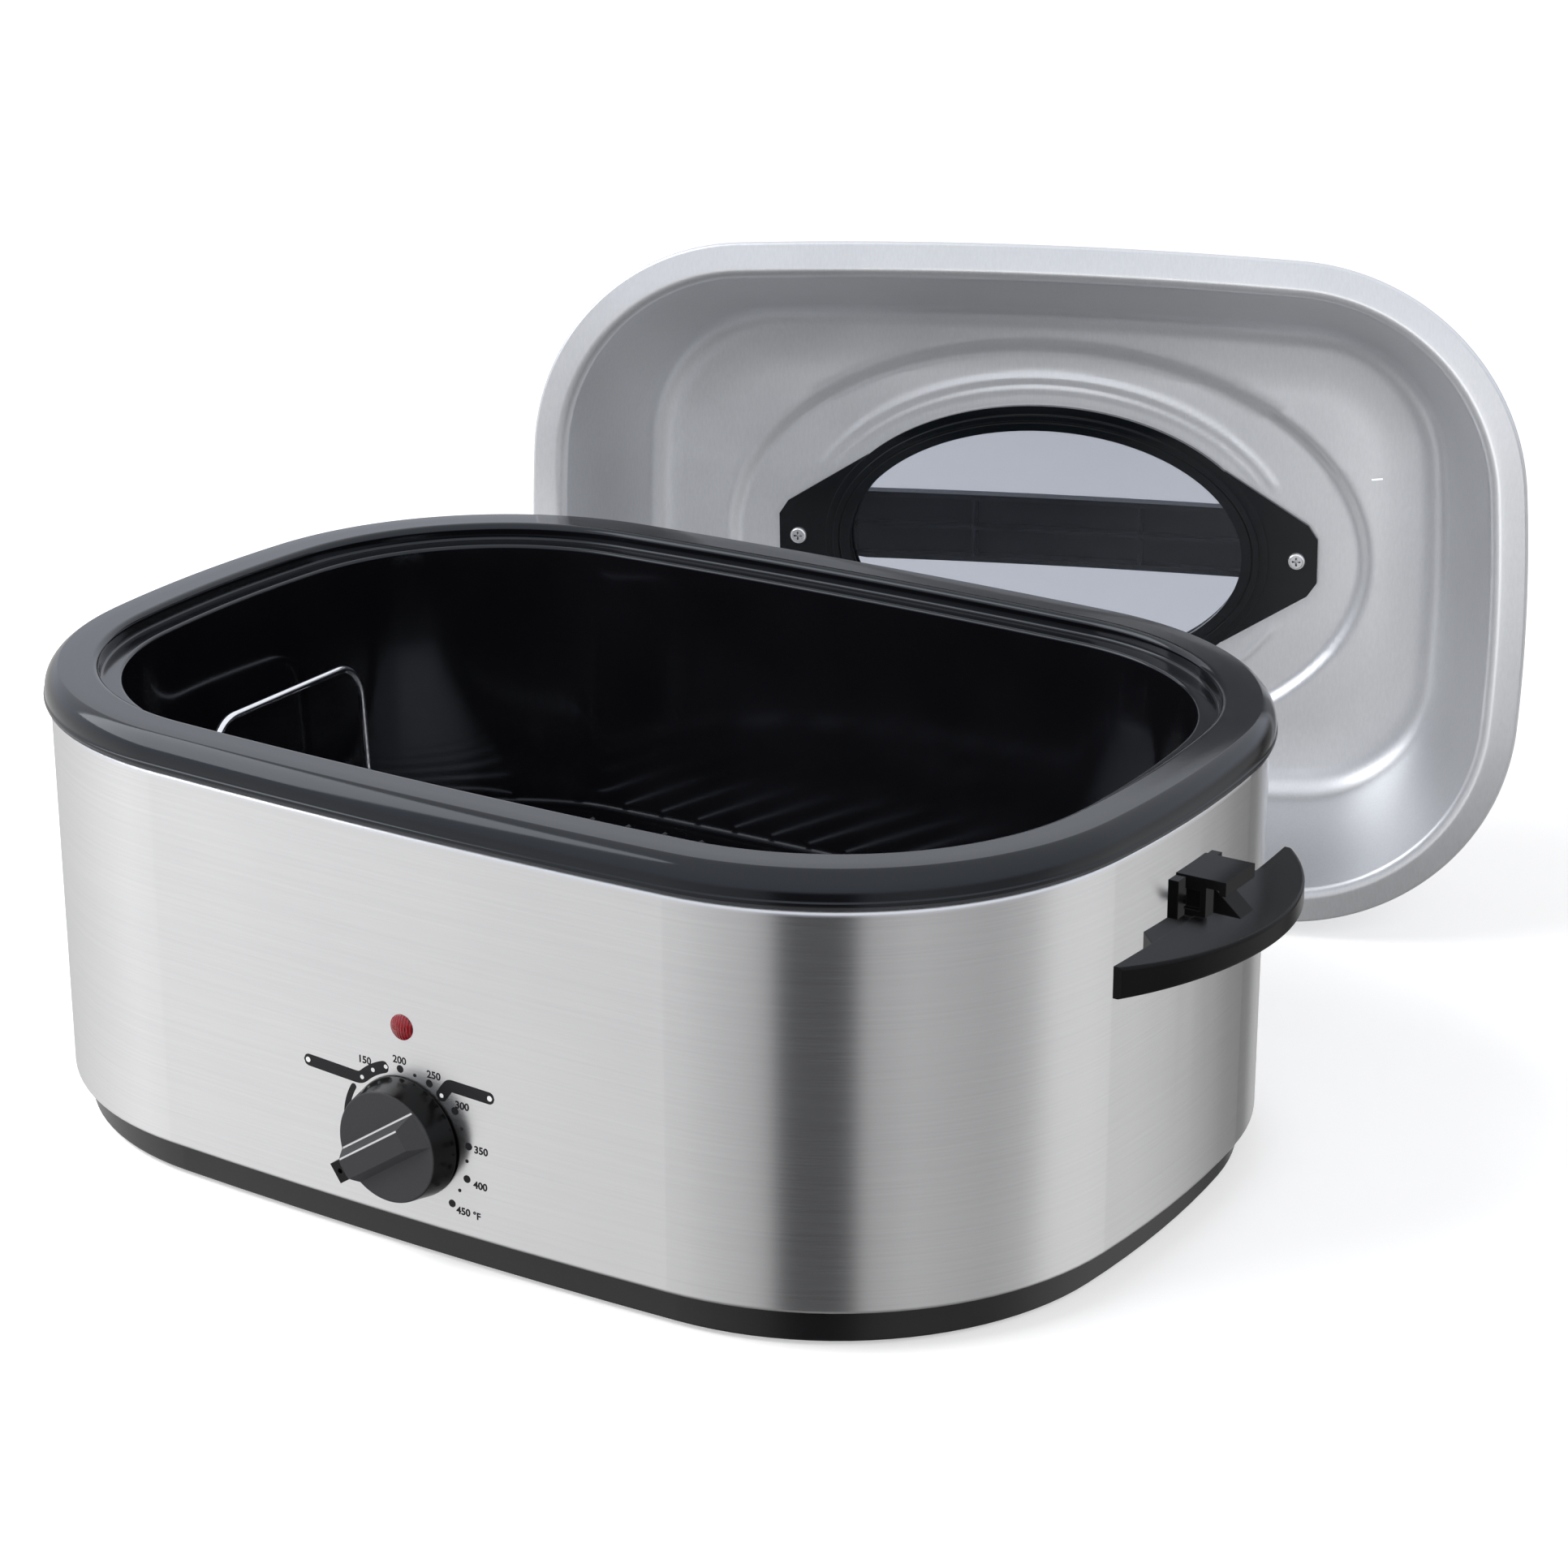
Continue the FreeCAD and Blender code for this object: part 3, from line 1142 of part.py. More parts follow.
def rack_handle(side):
    """Upright wire loop at one end, inside the frame, to lift the rack by."""
    half = RACK_HANDLE_WIDTH / 2
    bow_radius = END_BOW_RADIUS + RACK_OFFSET
    bow = bow_radius - math.sqrt(bow_radius ** 2 - half ** 2)
    frame_inside = HALF_LENGTH + RACK_OFFSET - bow - RACK_WIRE_RADIUS
    x = side * (frame_inside - RACK_HANDLE_RADIUS - 4 * FIT_GAP)
    x_top = x + side * RACK_HANDLE_LEAN
    low = RACK_FRAME_Z - RACK_WIRE_RADIUS
    high = RACK_FRAME_Z + RACK_HANDLE_HEIGHT
    points = [V(x, -half, low), V(x_top, -half, high), V(x_top, half, high), V(x, half, low)]
    return bent_wire(points, RACK_HANDLE_BEND, RACK_HANDLE_RADIUS)


# -------------------------------------------------------------------- lid

def lid_dome():
    """Pressed aluminium lid: flat rim with a curled edge, sloping wall, panel with an oval step."""
    t = LID_THICKNESS
    rim = -LID_RIM_WIDTH
    edge_round = LID_EDGE_ROUND
    foot_round = LID_WALL_ROUND
    panel_round = LID_PANEL_ROUND
    wall_foot = rim - LID_WALL_RUN
    panel_edge = wall_foot - panel_round
    wall_low = -LID_DEPTH + panel_round
    bend = (wall_foot - panel_round / 2 + 2.6, -LID_DEPTH + panel_round * 0.26)
    profile = [
        (0.0, -LID_EDGE_CURL),
        (0.0, -edge_round),
        (*round_through((-edge_round, -edge_round), edge_round, 45), -edge_round, 0.0),
        (rim + 2.2, 0.0),
        (rim + 0.9, LID_BEAD_RISE, rim - 0.6, 0.2),
        (*round_through((rim - 1.0, -foot_round), foot_round + 0.6, 130), rim - foot_round, -foot_round),
        (wall_foot, wall_low),
        (*bend, panel_edge, -LID_DEPTH),
        (panel_edge, -LID_DEPTH - t),
        (bend[0] + 0.72 * t, bend[1] - 0.72 * t, wall_foot + t, wall_low - 0.2),
        (rim - foot_round + 1.1 * t, -foot_round),
        (rim - 1.6, -t - 0.9),
        (-edge_round, -t),
        (-t, -edge_round - t),
        (-t, -LID_EDGE_CURL),
    ]
    wall = swept_ring(LID_SIZE, profile)
    panel = slab(LID_SIZE, panel_edge, -LID_DEPTH - t, -LID_DEPTH)
    deep = OVAL_FLOOR_Z
    step = oval(OVAL_LENGTH + 2 * t, OVAL_WIDTH + 2 * t, deep - t, -LID_DEPTH - t / 2)
    cutters = [
        oval(OVAL_LENGTH, OVAL_WIDTH, deep, -LID_DEPTH + 1),
        window_opening(deep - 5, deep + 5),
    ]
    cutters.extend(lid_screw_holes(deep - 5, deep + 5))
    half_length = VENT_SLOT_LENGTH / 2
    half_width = VENT_SLOT_WIDTH / 2
    vent = box(-half_length, half_length, -half_width, half_width, -LID_DEPTH - 5, -LID_DEPTH + 5)
    vent.rotate(V(0, 0, 0), UP, VENT_SLOT_TURN)
    vent.translate(V(*VENT_SLOT_PLACE, 0))
    cutters.append(vent)
    lid = cut_all(fused([wall, panel, step]), cutters)
    return fused([lid, bead_arc(-1), bead_arc(1)])


def window_opening(low, high):
    """The lid's opening for the glass."""
    return oval(GLASS_LENGTH + 2 * GLASS_EDGE_GAP, GLASS_WIDTH + 2 * GLASS_EDGE_GAP, low, high)


def lid_screw_holes(low, high):
    """Cutters for the two screws of the lid handle."""
    radius = SCREW_RADIUS + FIT_GAP
    return [rod(V(x, 0, low), V(x, 0, high), radius) for x in (-LID_SCREW_X, LID_SCREW_X)]


def bead_arc(side):
    """A long stiffening bead beside the window, above it or below it."""
    floor = OVAL_FLOOR_Z
    outer = (BEAD_LENGTH + BEAD_BAND, BEAD_WIDTH + BEAD_BAND)
    inner = (BEAD_LENGTH - BEAD_BAND, BEAD_WIDTH - BEAD_BAND)
    whole = oval_ring(outer, inner, floor - 0.4, floor + BEAD_RISE)
    y0, y1 = sorted((side * BEAD_END_Y, side * BEAD_WIDTH))
    return whole.common(box(-BEAD_LENGTH, BEAD_LENGTH, y0, y1, floor - 2, floor + 4))


def ear_plate(extra, low, high):
    """A long six-sided plate whose two narrow ends reach past the frame's oval."""
    reach = EAR_REACH + extra
    end = EAR_END_HALF + extra / 2
    cut_x = reach - EAR_CHAMFER[0]
    cut_y = end + EAR_CHAMFER[1]
    root_x = EAR_ROOT[0] + extra / 2
    root_y = EAR_ROOT[1] + extra / 2
    quarter = [(reach, end), (cut_x, cut_y), (root_x, root_y)]
    corners = quarter + [(-x, y) for x, y in reversed(quarter)]
    corners = corners + [(x, -y) for x, y in reversed(corners)]
    return polygon([(x, y, low) for x, y in corners], high - low)


def frame_oval(shrink, low, high):
    """The window frame's oval, made smaller all round."""
    return oval(FRAME_LENGTH - shrink, FRAME_WIDTH - shrink, low, high)


def window_frame_inner():
    """Black inner frame: two screw ears and a stepped, grooved oval ring round the glass."""
    seat = OVAL_FLOOR_Z + FIT_GAP
    solids = [ear_plate(0.0, seat, seat + FRAME_PLATE)]
    for shrink, height in FRAME_STEPS:
        solids.append(frame_oval(shrink, seat, seat + height))
    groove_outer, groove_inner, groove_floor = FRAME_GROOVE
    groove = frame_oval(groove_outer, seat + groove_floor, seat + 9)
    groove = groove.cut(frame_oval(groove_inner, seat, seat + 9))
    cutters = [groove, oval(SIGHT_LENGTH, SIGHT_WIDTH, seat - 1, seat + 9)]
    return cut_all(fused(solids), cutters + lid_screw_holes(seat - 1, seat + 9))


def window_glass():
    """Oval pane in the lid's opening."""
    return oval(GLASS_LENGTH, GLASS_WIDTH, OVAL_FLOOR_Z - GLASS_THICKNESS, OVAL_FLOOR_Z)


def window_gasket():
    """Silicone ring on the outer face of the pane."""
    inner = (SIGHT_LENGTH + 1.5, SIGHT_WIDTH + 1.5)
    return oval_ring((GLASS_LENGTH, GLASS_WIDTH), inner, GASKET_LOW_Z, OVAL_FLOOR_Z - GLASS_THICKNESS)


def window_frame_outer():
    """Black outer frame on the outside of the lid, round the glass, with pads for the handle."""
    seat = OVAL_FLOOR_Z - LID_THICKNESS - FIT_GAP
    low = OUTER_FRAME_LOW_Z
    extra = OUTER_FRAME_EXTRA
    frame = fused([ear_plate(extra, low, seat), frame_oval(-extra, low, seat)])
    cutters = [window_opening(GASKET_LOW_Z, seat + 5), oval(SIGHT_LENGTH, SIGHT_WIDTH, low - 5, seat + 5)]
    return cut_all(frame, cutters + lid_screw_holes(low - 5, seat + 5))


def lid_handle():
    """Arched grip over the window: channel section with a middle rib and cross ribs, on two posts."""
    foot_z = OUTER_FRAME_LOW_Z - FIT_GAP
    under = -LID_DEPTH - BAR_UNDERSIDE_GAP
    under_ends = under + BAR_ARCH
    outer_mid = under - BAR_THICKNESS
    outer_ends = under_ends - BAR_THICKNESS + 3.0
    half = BAR_WIDTH / 2
    end_x = LID_SCREW_X + BAR_END_REACH
    foot_x = LID_SCREW_X - BAR_END_REACH
    post_x = foot_x - 7.0

    def side_view(x, z):
        return V(x, -half, z)

    edges = [
        arc(side_view(-end_x, outer_ends), side_view(0, outer_mid), side_view(end_x, outer_ends)),
        line(side_view(end_x, outer_ends), side_view(end_x, foot_z)),
        line(side_view(end_x, foot_z), side_view(foot_x, foot_z)),
        line(side_view(foot_x, foot_z), side_view(post_x, under_ends)),
        arc(side_view(post_x, under_ends), side_view(0, under), side_view(-post_x, under_ends)),
        line(side_view(-post_x, under_ends), side_view(-foot_x, foot_z)),
        line(side_view(-foot_x, foot_z), side_view(-end_x, foot_z)),
        line(side_view(-end_x, foot_z), side_view(-end_x, outer_ends)),
    ]
    bar = Part.Face(Part.Wire(edges)).extrude(V(0, BAR_WIDTH, 0))
    taper_x = LID_SCREW_X - 30.0
    for side in (-1, 1):
        corners = [
            (-end_x - 1, side * (half - BAR_END_TAPER), 2 * under), (-taper_x, side * half, 2 * under),
            (-taper_x, side * 2 * half, 2 * under), (-end_x - 1, side * 2 * half, 2 * under),
        ]
        taper = polygon(corners, -2 * under)
        bar = bar.cut(taper).cut(mirrored(taper))
    lower = [e for e in bar.Edges if e.BoundBox.ZMax < under_ends - 1]
    lengthwise = [e for e in lower if e.BoundBox.XLength > taper_x and e.BoundBox.YLength < 1]
    bar = bar.makeFillet(BAR_ROUND, lengthwise)
    pocket_x = LID_SCREW_X - 24.0
    pocket_low = outer_ends + 3.5
    pocket_high = under_ends + 5
    pocket_y = -half + BAR_WALL
    left_low = V(-pocket_x, pocket_y, pocket_low)
    right_low = V(pocket_x, pocket_y, pocket_low)
    right_high = V(pocket_x, pocket_y, pocket_high)
    left_high = V(-pocket_x, pocket_y, pocket_high)
    pocket_edges = [
        arc(left_low, V(0, pocket_y, outer_mid + BAR_WALL), right_low),
        line(right_low, right_high),
        line(right_high, left_high),
        line(left_high, left_low),
    ]
    pocket = Part.Face(Part.Wire(pocket_edges)).extrude(V(0, BAR_WIDTH - 2 * BAR_WALL, 0))
    rib = RIB_THICKNESS / 2
    ribs = [box(-pocket_x - 1, pocket_x + 1, -rib, rib, outer_mid - 5, pocket_high + 5)]
    for x in (-RIB_SPACING / 2, RIB_SPACING / 2):
        ribs.append(box(x - rib, x + rib, -half, half, outer_mid - 5, pocket_high + 5))
    holes = lid_screw_holes(foot_z - LID_SCREW_LENGTH - 1.0, foot_z + 5)
    return cut_all(bar.cut(cut_all(pocket, ribs)), holes).removeSplitter()


def lid_screws():
    """Two screws from the inside of the lid, through the ears and frames, into the handle's posts."""
    seat = OVAL_FLOOR_Z + FRAME_PLATE + 2 * FIT_GAP
    tip = OUTER_FRAME_LOW_Z - LID_SCREW_LENGTH
    solids = []
    for x in (-LID_SCREW_X, LID_SCREW_X):
        start = V(x, 0, tip)
        solids.append(screw(start, V(x, 0, seat), SCREW_RADIUS, LID_SCREW_HEAD_RADIUS, SCREW_HEAD_HEIGHT))
    return Part.makeCompound(solids)


def stand_lid(shape, lift):
    """Put a lid piece where the lid stands behind the body, raised by lift."""
    shape = shape.copy()
    shape.rotate(V(0, 0, 0), UP, LID_ROLL)
    shape.rotate(V(0, 0, 0), V(1, 0, 0), 90 - LID_LEAN)
    shape.rotate(V(0, 0, 0), UP, LID_TURN)
    shape.translate(V(LID_STAND_X, LID_STAND_Y, lift))
    return shape


def lowest_point(shape):
    """The lowest z of a shape, from a fine mesh of it."""
    points, _ = shape.tessellate(0.02)
    return min(p.z for p in points)


# ------------------------------------------------------------------- write

os.makedirs("parts", exist_ok=True)

save("outer_shell", outer_shell())
save("base_ring", base_ring())
save("bottom_cover", bottom_cover())
for place, (foot_x, foot_y) in foot_places().items():
    save(f"foot_{place}", foot(foot_x, foot_y))
save("foot_screws", foot_screws())
save("base_screws", base_screws())
save("inner_liner", inner_liner())
save("heater_band", heater_band())
save("heater_clamp_lower", heater_clamp(HEATER_BOTTOM_Z + CLAMP_INSET))
save("heater_clamp_upper", heater_clamp(HEATER_BOTTOM_Z + HEATER_HEIGHT - CLAMP_INSET - CLAMP_WIDTH))
save("insulation_blanket", insulation_blanket())
save("insulation_floor", insulation_floor())
save("liner_stud", liner_stud())
save("stud_spacer", stud_spacer())
save("stud_nut", stud_nut())
save("cord_bushing", cord_bushing())
save("terminal_block", terminal_block())
save("terminal_screws", terminal_screws())
save("thermal_fuse", thermal_fuse())
save("fuse_clip", fuse_clip())

side_pieces = {
    "handle": handle_right(),
    "handle_plate": handle_plate_right(),
    "handle_screws": handle_screws_right(),
}
for name, piece in side_pieces.items():
    save(f"{name}_right", piece)
    save(f"{name}_left", mirrored(piece))

panel_pieces = {
    "thermostat_bracket": thermostat_bracket(),
    "thermostat_body": thermostat_body(),
    "thermostat_sensor": thermostat_sensor(),
    "thermostat_screws": thermostat_screws(),
    "indicator_lens": indicator_lens(),
    "indicator_lamp": indicator_lamp(),
    "lamp_clip": lamp_clip(),
    "control_knob": control_knob(),
    "knob_shaft": knob_shaft(),
    "knob_clip": knob_clip(),
}
for name, piece in panel_pieces.items():
    piece.translate(V(PANEL_X, 0, 0))
    save(name, piece)

save("cook_pan", cook_pan())
save("rack_frame", rack_frame())
save("rack_wires", rack_wires())
save("rack_legs", rack_legs())
save("rack_handle_right", rack_handle(1))
save("rack_handle_left", rack_handle(-1))

dome = lid_dome()
lid_lift = -lowest_point(stand_lid(dome, 0.0))
lid_pieces = {
    "lid_dome": dome,
    "window_frame_inner": window_frame_inner(),
    "window_glass": window_glass(),
    "window_gasket": window_gasket(),
    "window_frame_outer": window_frame_outer(),
    "lid_handle": lid_handle(),
    "lid_screws": lid_screws(),
}
for name, piece in lid_pieces.items():
    save(name, stand_lid(piece, lid_lift))
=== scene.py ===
"""Electric roaster oven: finishes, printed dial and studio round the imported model."""
import json
import math

import bpy
import numpy as np
from mathutils import Matrix, Vector


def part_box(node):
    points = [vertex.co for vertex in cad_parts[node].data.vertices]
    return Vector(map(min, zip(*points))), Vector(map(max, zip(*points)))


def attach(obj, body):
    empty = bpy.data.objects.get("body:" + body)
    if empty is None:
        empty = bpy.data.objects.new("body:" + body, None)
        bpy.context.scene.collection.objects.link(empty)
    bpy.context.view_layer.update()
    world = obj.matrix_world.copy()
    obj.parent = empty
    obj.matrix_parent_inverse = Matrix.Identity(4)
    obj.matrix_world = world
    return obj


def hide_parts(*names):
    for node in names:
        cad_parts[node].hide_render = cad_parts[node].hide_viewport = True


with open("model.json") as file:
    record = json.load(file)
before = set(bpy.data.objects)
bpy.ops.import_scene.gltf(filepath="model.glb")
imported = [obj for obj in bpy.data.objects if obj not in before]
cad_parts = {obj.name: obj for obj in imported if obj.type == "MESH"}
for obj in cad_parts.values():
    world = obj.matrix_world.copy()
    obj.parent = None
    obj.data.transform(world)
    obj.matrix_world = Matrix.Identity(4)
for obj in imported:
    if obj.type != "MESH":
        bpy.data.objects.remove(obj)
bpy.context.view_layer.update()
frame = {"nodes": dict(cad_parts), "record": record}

# ------------------------------------------------------------------ sizes, in metres

SET_MIDDLE_Y = 0.1199           # the body's middle is this far in front of the frame's origin
PANEL_X = 0.0027                # dial and lamp, to the right of the body's middle
DIAL_Z = 0.058
LAMP_Z = 0.1085
LENS_RIB_PITCH = 0.00125
KNOB_FACE_EDGE = 0.0246         # radius at which the knob's matte face ends
GRIP_ANGLE = math.radians(214.0)
GRIP_RIDGE = 0.0046             # distances from the middle of the grip of the two stripes of painted highlight
GRIP_FOOT = 0.0082
GRIP_TAIL = -0.0138             # where the ridge's stripe of painted highlight starts, along the grip


# ------------------------------------------------------------------ shader maths

class Value:
    """A node socket that takes part in arithmetic; each operator adds its Math node."""

    def __init__(self, finish, socket):
        self.finish = finish
        self.socket = socket

    def math(self, operation, *others, clamp=False):
        """One Math node of an operation on this value and the others."""
        settings = {"operation": operation, "use_clamp": clamp}
        return self.finish.node("ShaderNodeMath", settings, (self,) + others)

    def __add__(self, other):
        return self.math("ADD", other)

    def __sub__(self, other):
        return self.math("SUBTRACT", other)

    def __mul__(self, other):
        return self.math("MULTIPLY", other)

    def __truediv__(self, other):
        return self.math("DIVIDE", other)

    def __pow__(self, other):
        return self.math("POWER", other)

    def __neg__(self):
        return self.math("MULTIPLY", -1.0)

    def __rsub__(self, other):
        return self.finish.node("ShaderNodeMath", {"operation": "SUBTRACT"}, (other, self))

    def __rtruediv__(self, other):
        return self.finish.node("ShaderNodeMath", {"operation": "DIVIDE"}, (other, self))

    __radd__ = __add__
    __rmul__ = __mul__

    def step(self, low, high):
        """0 under low, 1 over high, smooth between."""
        return self.finish.node("ShaderNodeMapRange", {"interpolation_type": "SMOOTHSTEP"},
                                {"Value": self, "From Min": low, "From Max": high})

    def between(self, low, high):
        """The value's 0 to 1 carried to low to high."""
        return self * (high - low) + low


class Finish:
    """A node tree for one finish, and the one method that adds any node to it."""

    def __init__(self, tree):
        self.tree = tree
        tree.nodes.clear()

    def node(self, kind, settings=None, inputs=(), out=0):
        """A node of a type, its settings first, then its sockets' values or links."""
        made = self.tree.nodes.new(kind)
        for key, value in (settings or {}).items():
            if key == "stops":
                ramp = made.color_ramp
                while len(ramp.elements) < len(value):
                    ramp.elements.new(0.5)
                for element, (place, colour) in zip(ramp.elements, value):
                    element.position = place
                    element.color = colour
            else:
                setattr(made, key, value)
        pairs = inputs.items() if isinstance(inputs, dict) else enumerate(inputs)
        for key, value in pairs:
            if isinstance(value, Value):
                self.tree.links.new(value.socket, made.inputs[key])
            else:
                made.inputs[key].default_value = value
        return Value(self, made.outputs[out]) if len(made.outputs) else None

    def place(self):
        """Object coordinates of the point, in metres."""
        return self.node("ShaderNodeTexCoord", out="Object")

    def split(self, vector):
        """The three parts of a vector."""
        first = self.node("ShaderNodeSeparateXYZ", inputs=(vector,))
        made = first.socket.node
        return first, Value(self, made.outputs[1]), Value(self, made.outputs[2])

    def stretched(self, x, y, z):
        """Object coordinates with each axis multiplied, for grain that runs one way."""
        return self.node("ShaderNodeVectorMath", {"operation": "MULTIPLY"}, (self.place(), (x, y, z)))

    def noise(self, vector, scale=1.0, detail=2, roughness=0.5):
        """Soft noise from 0 to 1; scale is its lumps per metre."""
        return self.node("ShaderNodeTexNoise", inputs={
            "Vector": vector, "Scale": scale, "Detail": detail, "Roughness": roughness})

    def grains(self, scale, out="Distance"):
        """Cells round scattered points, as each place's distance from its point or a colour."""
        inputs = {"Vector": self.place(), "Scale": scale}
        return self.node("ShaderNodeTexVoronoi", inputs=inputs, out=out)

    def tint(self, amount, low, high):
        """Colour between low and high by amount."""
        return self.node("ShaderNodeMix", {"data_type": "RGBA"},
                         {0: amount, 6: (*low, 1.0), 7: (*high, 1.0)}, out=2)

    def over(self, amount, low, high):
        """Colour link low covered by colour link high by amount."""
        return self.node("ShaderNodeMix", {"data_type": "RGBA"}, {0: amount, 6: low, 7: high}, out=2)

    def relief(self, height, depth, strength=1.0, edge=0.0):
        """Bump of a given depth in metres, over edges that look rounded by a radius in metres."""
        inputs = {"Height": height, "Distance": depth, "Strength": strength}
        if edge:
            inputs["Normal"] = self.node("ShaderNodeBevel", {"samples": 6}, {"Radius": edge})
        return self.node("ShaderNodeBump", inputs=inputs)

    def surface(self, **sockets):
        """Principled shader on the output, its sockets named in lower case."""
        inputs = {key.replace("_", " ").title().replace("Ior", "IOR"): value
                  for key, value in sockets.items()}
        shader = self.node("ShaderNodeBsdfPrincipled", inputs=inputs)
        self.node("ShaderNodeOutputMaterial", inputs={"Surface": shader})


def finish(name):
    """A new material and the maker of its nodes."""
    material = bpy.data.materials.new(name)
    material.use_nodes = True
    return material, Finish(material.node_tree)


# ------------------------------------------------------------------ finishes

def brushed_stainless():
    """Horizontal hairlines of two lengths round the body, with faint cloudy wear."""
    material, f = finish("brushed_stainless")
    hairs = f.noise(f.stretched(30, 30, 5200), detail=3, roughness=0.6)
    streaks = f.noise(f.stretched(5, 5, 900))
    clouds = f.noise(f.place(), scale=9, detail=3)
    tone = (hairs * 0.4 + streaks * 0.25 + clouds * 0.35).step(0.3, 0.7)
    f.surface(base_color=f.tint(tone, (0.71, 0.71, 0.72), (0.775, 0.775, 0.78)),
              metallic=1.0, roughness=hairs.between(0.20, 0.28), anisotropic=0.8,
              anisotropic_rotation=0.25, normal=f.relief(hairs, 0.000003, 0.4))
    return material


def black_enamel(name="black_enamel", deep=(0.003, 0.003, 0.004), pale=(0.007, 0.007, 0.009)):
    """Fired enamel: deep black, glossy, with a soft orange-peel skin and a few pin holes."""
    material, f = finish(name)
    peel = f.noise(f.place(), scale=260)
    clouds = f.noise(f.place(), scale=22, detail=3)
    specks = 1 - f.grains(900).step(0.02, 0.10)
    f.surface(base_color=f.tint(clouds * 0.7 + specks * 0.3, deep, pale),
              roughness=clouds.between(0.07, 0.14), ior=1.46,
              specular_tint=(0.86, 0.93, 1.0, 1.0), normal=f.relief(peel, 0.00003, 0.25))
    return material


def satin_black_metal():
    """Black lacquered base ring with fine dust-dry texture."""
    material, f = finish("satin_black_metal")
    grain = f.noise(f.place(), scale=1400)
    clouds = f.noise(f.place(), scale=30)
    f.surface(base_color=f.tint(clouds, (0.004, 0.004, 0.005), (0.008, 0.008, 0.009)),
              roughness=grain.between(0.2, 0.3), normal=f.relief(grain, 0.00002, 0.25))
    return material


def dull_zinc():
    """Zinc-plated sheet with a spangle of crystals."""
    material, f = finish("dull_zinc")
    crystals = f.grains(160, out="Color")
    grey = f.node("ShaderNodeRGBToBW", inputs=(crystals,))
    f.surface(base_color=f.tint(grey, (0.36, 0.37, 0.38), (0.52, 0.53, 0.54)), metallic=1.0,
              roughness=grey.between(0.32, 0.5), normal=f.relief(grey, 0.00001, 0.3))
    return material


def foot_rubber():
    """Matte rubber with fine moulding grain."""
    material, f = finish("foot_rubber")
    grain = f.noise(f.place(), scale=2200, detail=3)
    f.surface(base_color=f.tint(grain, (0.018, 0.018, 0.019), (0.04, 0.04, 0.042)),
              roughness=grain.between(0.7, 0.9), normal=f.relief(grain, 0.00005, 0.4))
    return material


def bright_steel(name="plated_screw_steel", low=(0.78, 0.78, 0.79), high=(0.92, 0.92, 0.93),
                 rough=(0.12, 0.24)):
    """Plated steel with light tool marks, and painted shade from ambient occlusion that darkens its
    colour in the recesses of its screw heads and where they seat.
    """
    material, f = finish(name)
    marks = f.noise(f.stretched(500, 500, 2400))
    # Painted shade: the colour goes dark where ambient occlusion finds the surface hemmed in
    occlusion_shade = f.node("ShaderNodeAmbientOcclusion", {"samples": 8}, {"Distance": 0.0012}, out="AO")
    colour = f.over(occlusion_shade.step(0.25, 0.8), (0.03, 0.03, 0.032, 1.0), f.tint(marks, low, high))
    f.surface(base_color=colour, metallic=0.8, roughness=marks.between(*rough),
              normal=f.relief(marks, 0.000008, 0.3, edge=0.0003))
    return material


def rack_chrome():
    """Bright chrome on drawn wire, a little duller in patches."""
    material, f = finish("rack_chrome")
    patches = f.noise(f.place(), scale=60, detail=3)
    f.surface(base_color=f.tint(patches, (0.72, 0.72, 0.74), (0.86, 0.86, 0.88)), metallic=1.0,
              roughness=patches.step(0.4, 0.8).between(0.05, 0.2))
    return material


def heater_foil():
    """Crinkled aluminium foil over the heating band."""
    material, f = finish("heater_foil")
    folds = f.noise(f.place(), scale=90, detail=4, roughness=0.7)
    f.surface(base_color=f.tint(folds, (0.60, 0.60, 0.58), (0.80, 0.80, 0.78)), metallic=1.0,
              roughness=folds.between(0.2, 0.42), normal=f.relief(folds, 0.0006, 0.5))
    return material


def glass_fibre():
    """Needled glass-fibre felt: pale, matte, with loose fibres."""
    material, f = finish("glass_fibre")
    fibres = f.noise(f.stretched(900, 900, 160), detail=4, roughness=0.75)
    lumps = f.noise(f.place(), scale=70, detail=3)
    f.surface(base_color=f.tint(fibres * 0.6 + lumps * 0.4, (0.66, 0.62, 0.5), (0.93, 0.91, 0.84)),
              roughness=0.95, normal=f.relief(fibres + lumps, 0.0008, 0.6))
    return material


def fired_ceramic():
    """Unglazed cream ceramic with fine pores."""
    material, f = finish("fired_ceramic")
    pores = f.grains(1500).step(0.05, 0.25)
    warm = f.noise(f.place(), scale=120)
    f.surface(base_color=f.tint(pores * 0.5 + warm * 0.5, (0.72, 0.68, 0.58), (0.9, 0.88, 0.82)),
              roughness=0.7, normal=f.relief(pores, 0.00004, 0.4))
    return material


def satin_brass():
    """Brass with long satin brush marks."""
    material, f = finish("satin_brass")
    marks = f.noise(f.stretched(300, 2000, 300))
    f.surface(base_color=f.tint(marks, (0.66, 0.48, 0.2), (0.86, 0.68, 0.36)), metallic=1.0,
              roughness=marks.between(0.22, 0.4))
    return material


def red_lens():
    """Clear red moulding with a faint red glow, its colour darker in the troughs of its ribs and
    lighter on their crests as painted shade and highlight of the ribs.
    """
    material, f = finish("red_lens")
    across = f.split(f.place())[0] - PANEL_X
    ribs = (across * (2 * math.pi / LENS_RIB_PITCH)).math("COSINE") * 0.5 + 0.5
    f.surface(base_color=f.tint(ribs, (0.08, 0.001, 0.003), (0.28, 0.003, 0.009)), roughness=0.22,
              coat_weight=0.2, coat_roughness=0.03, emission_strength=0.5,
              emission_color=f.tint(ribs, (0.02, 0.0, 0.0), (0.08, 0.0, 0.003)))
    return material


def neon_glass():
    """Thin lamp glass with an orange haze."""
    material, f = finish("neon_glass")
    haze = f.noise(f.place(), scale=300)
    f.surface(base_color=f.tint(haze, (0.85, 0.42, 0.32), (0.95, 0.6, 0.5)), roughness=0.05,
              alpha=haze.between(0.45, 0.6))
    return material


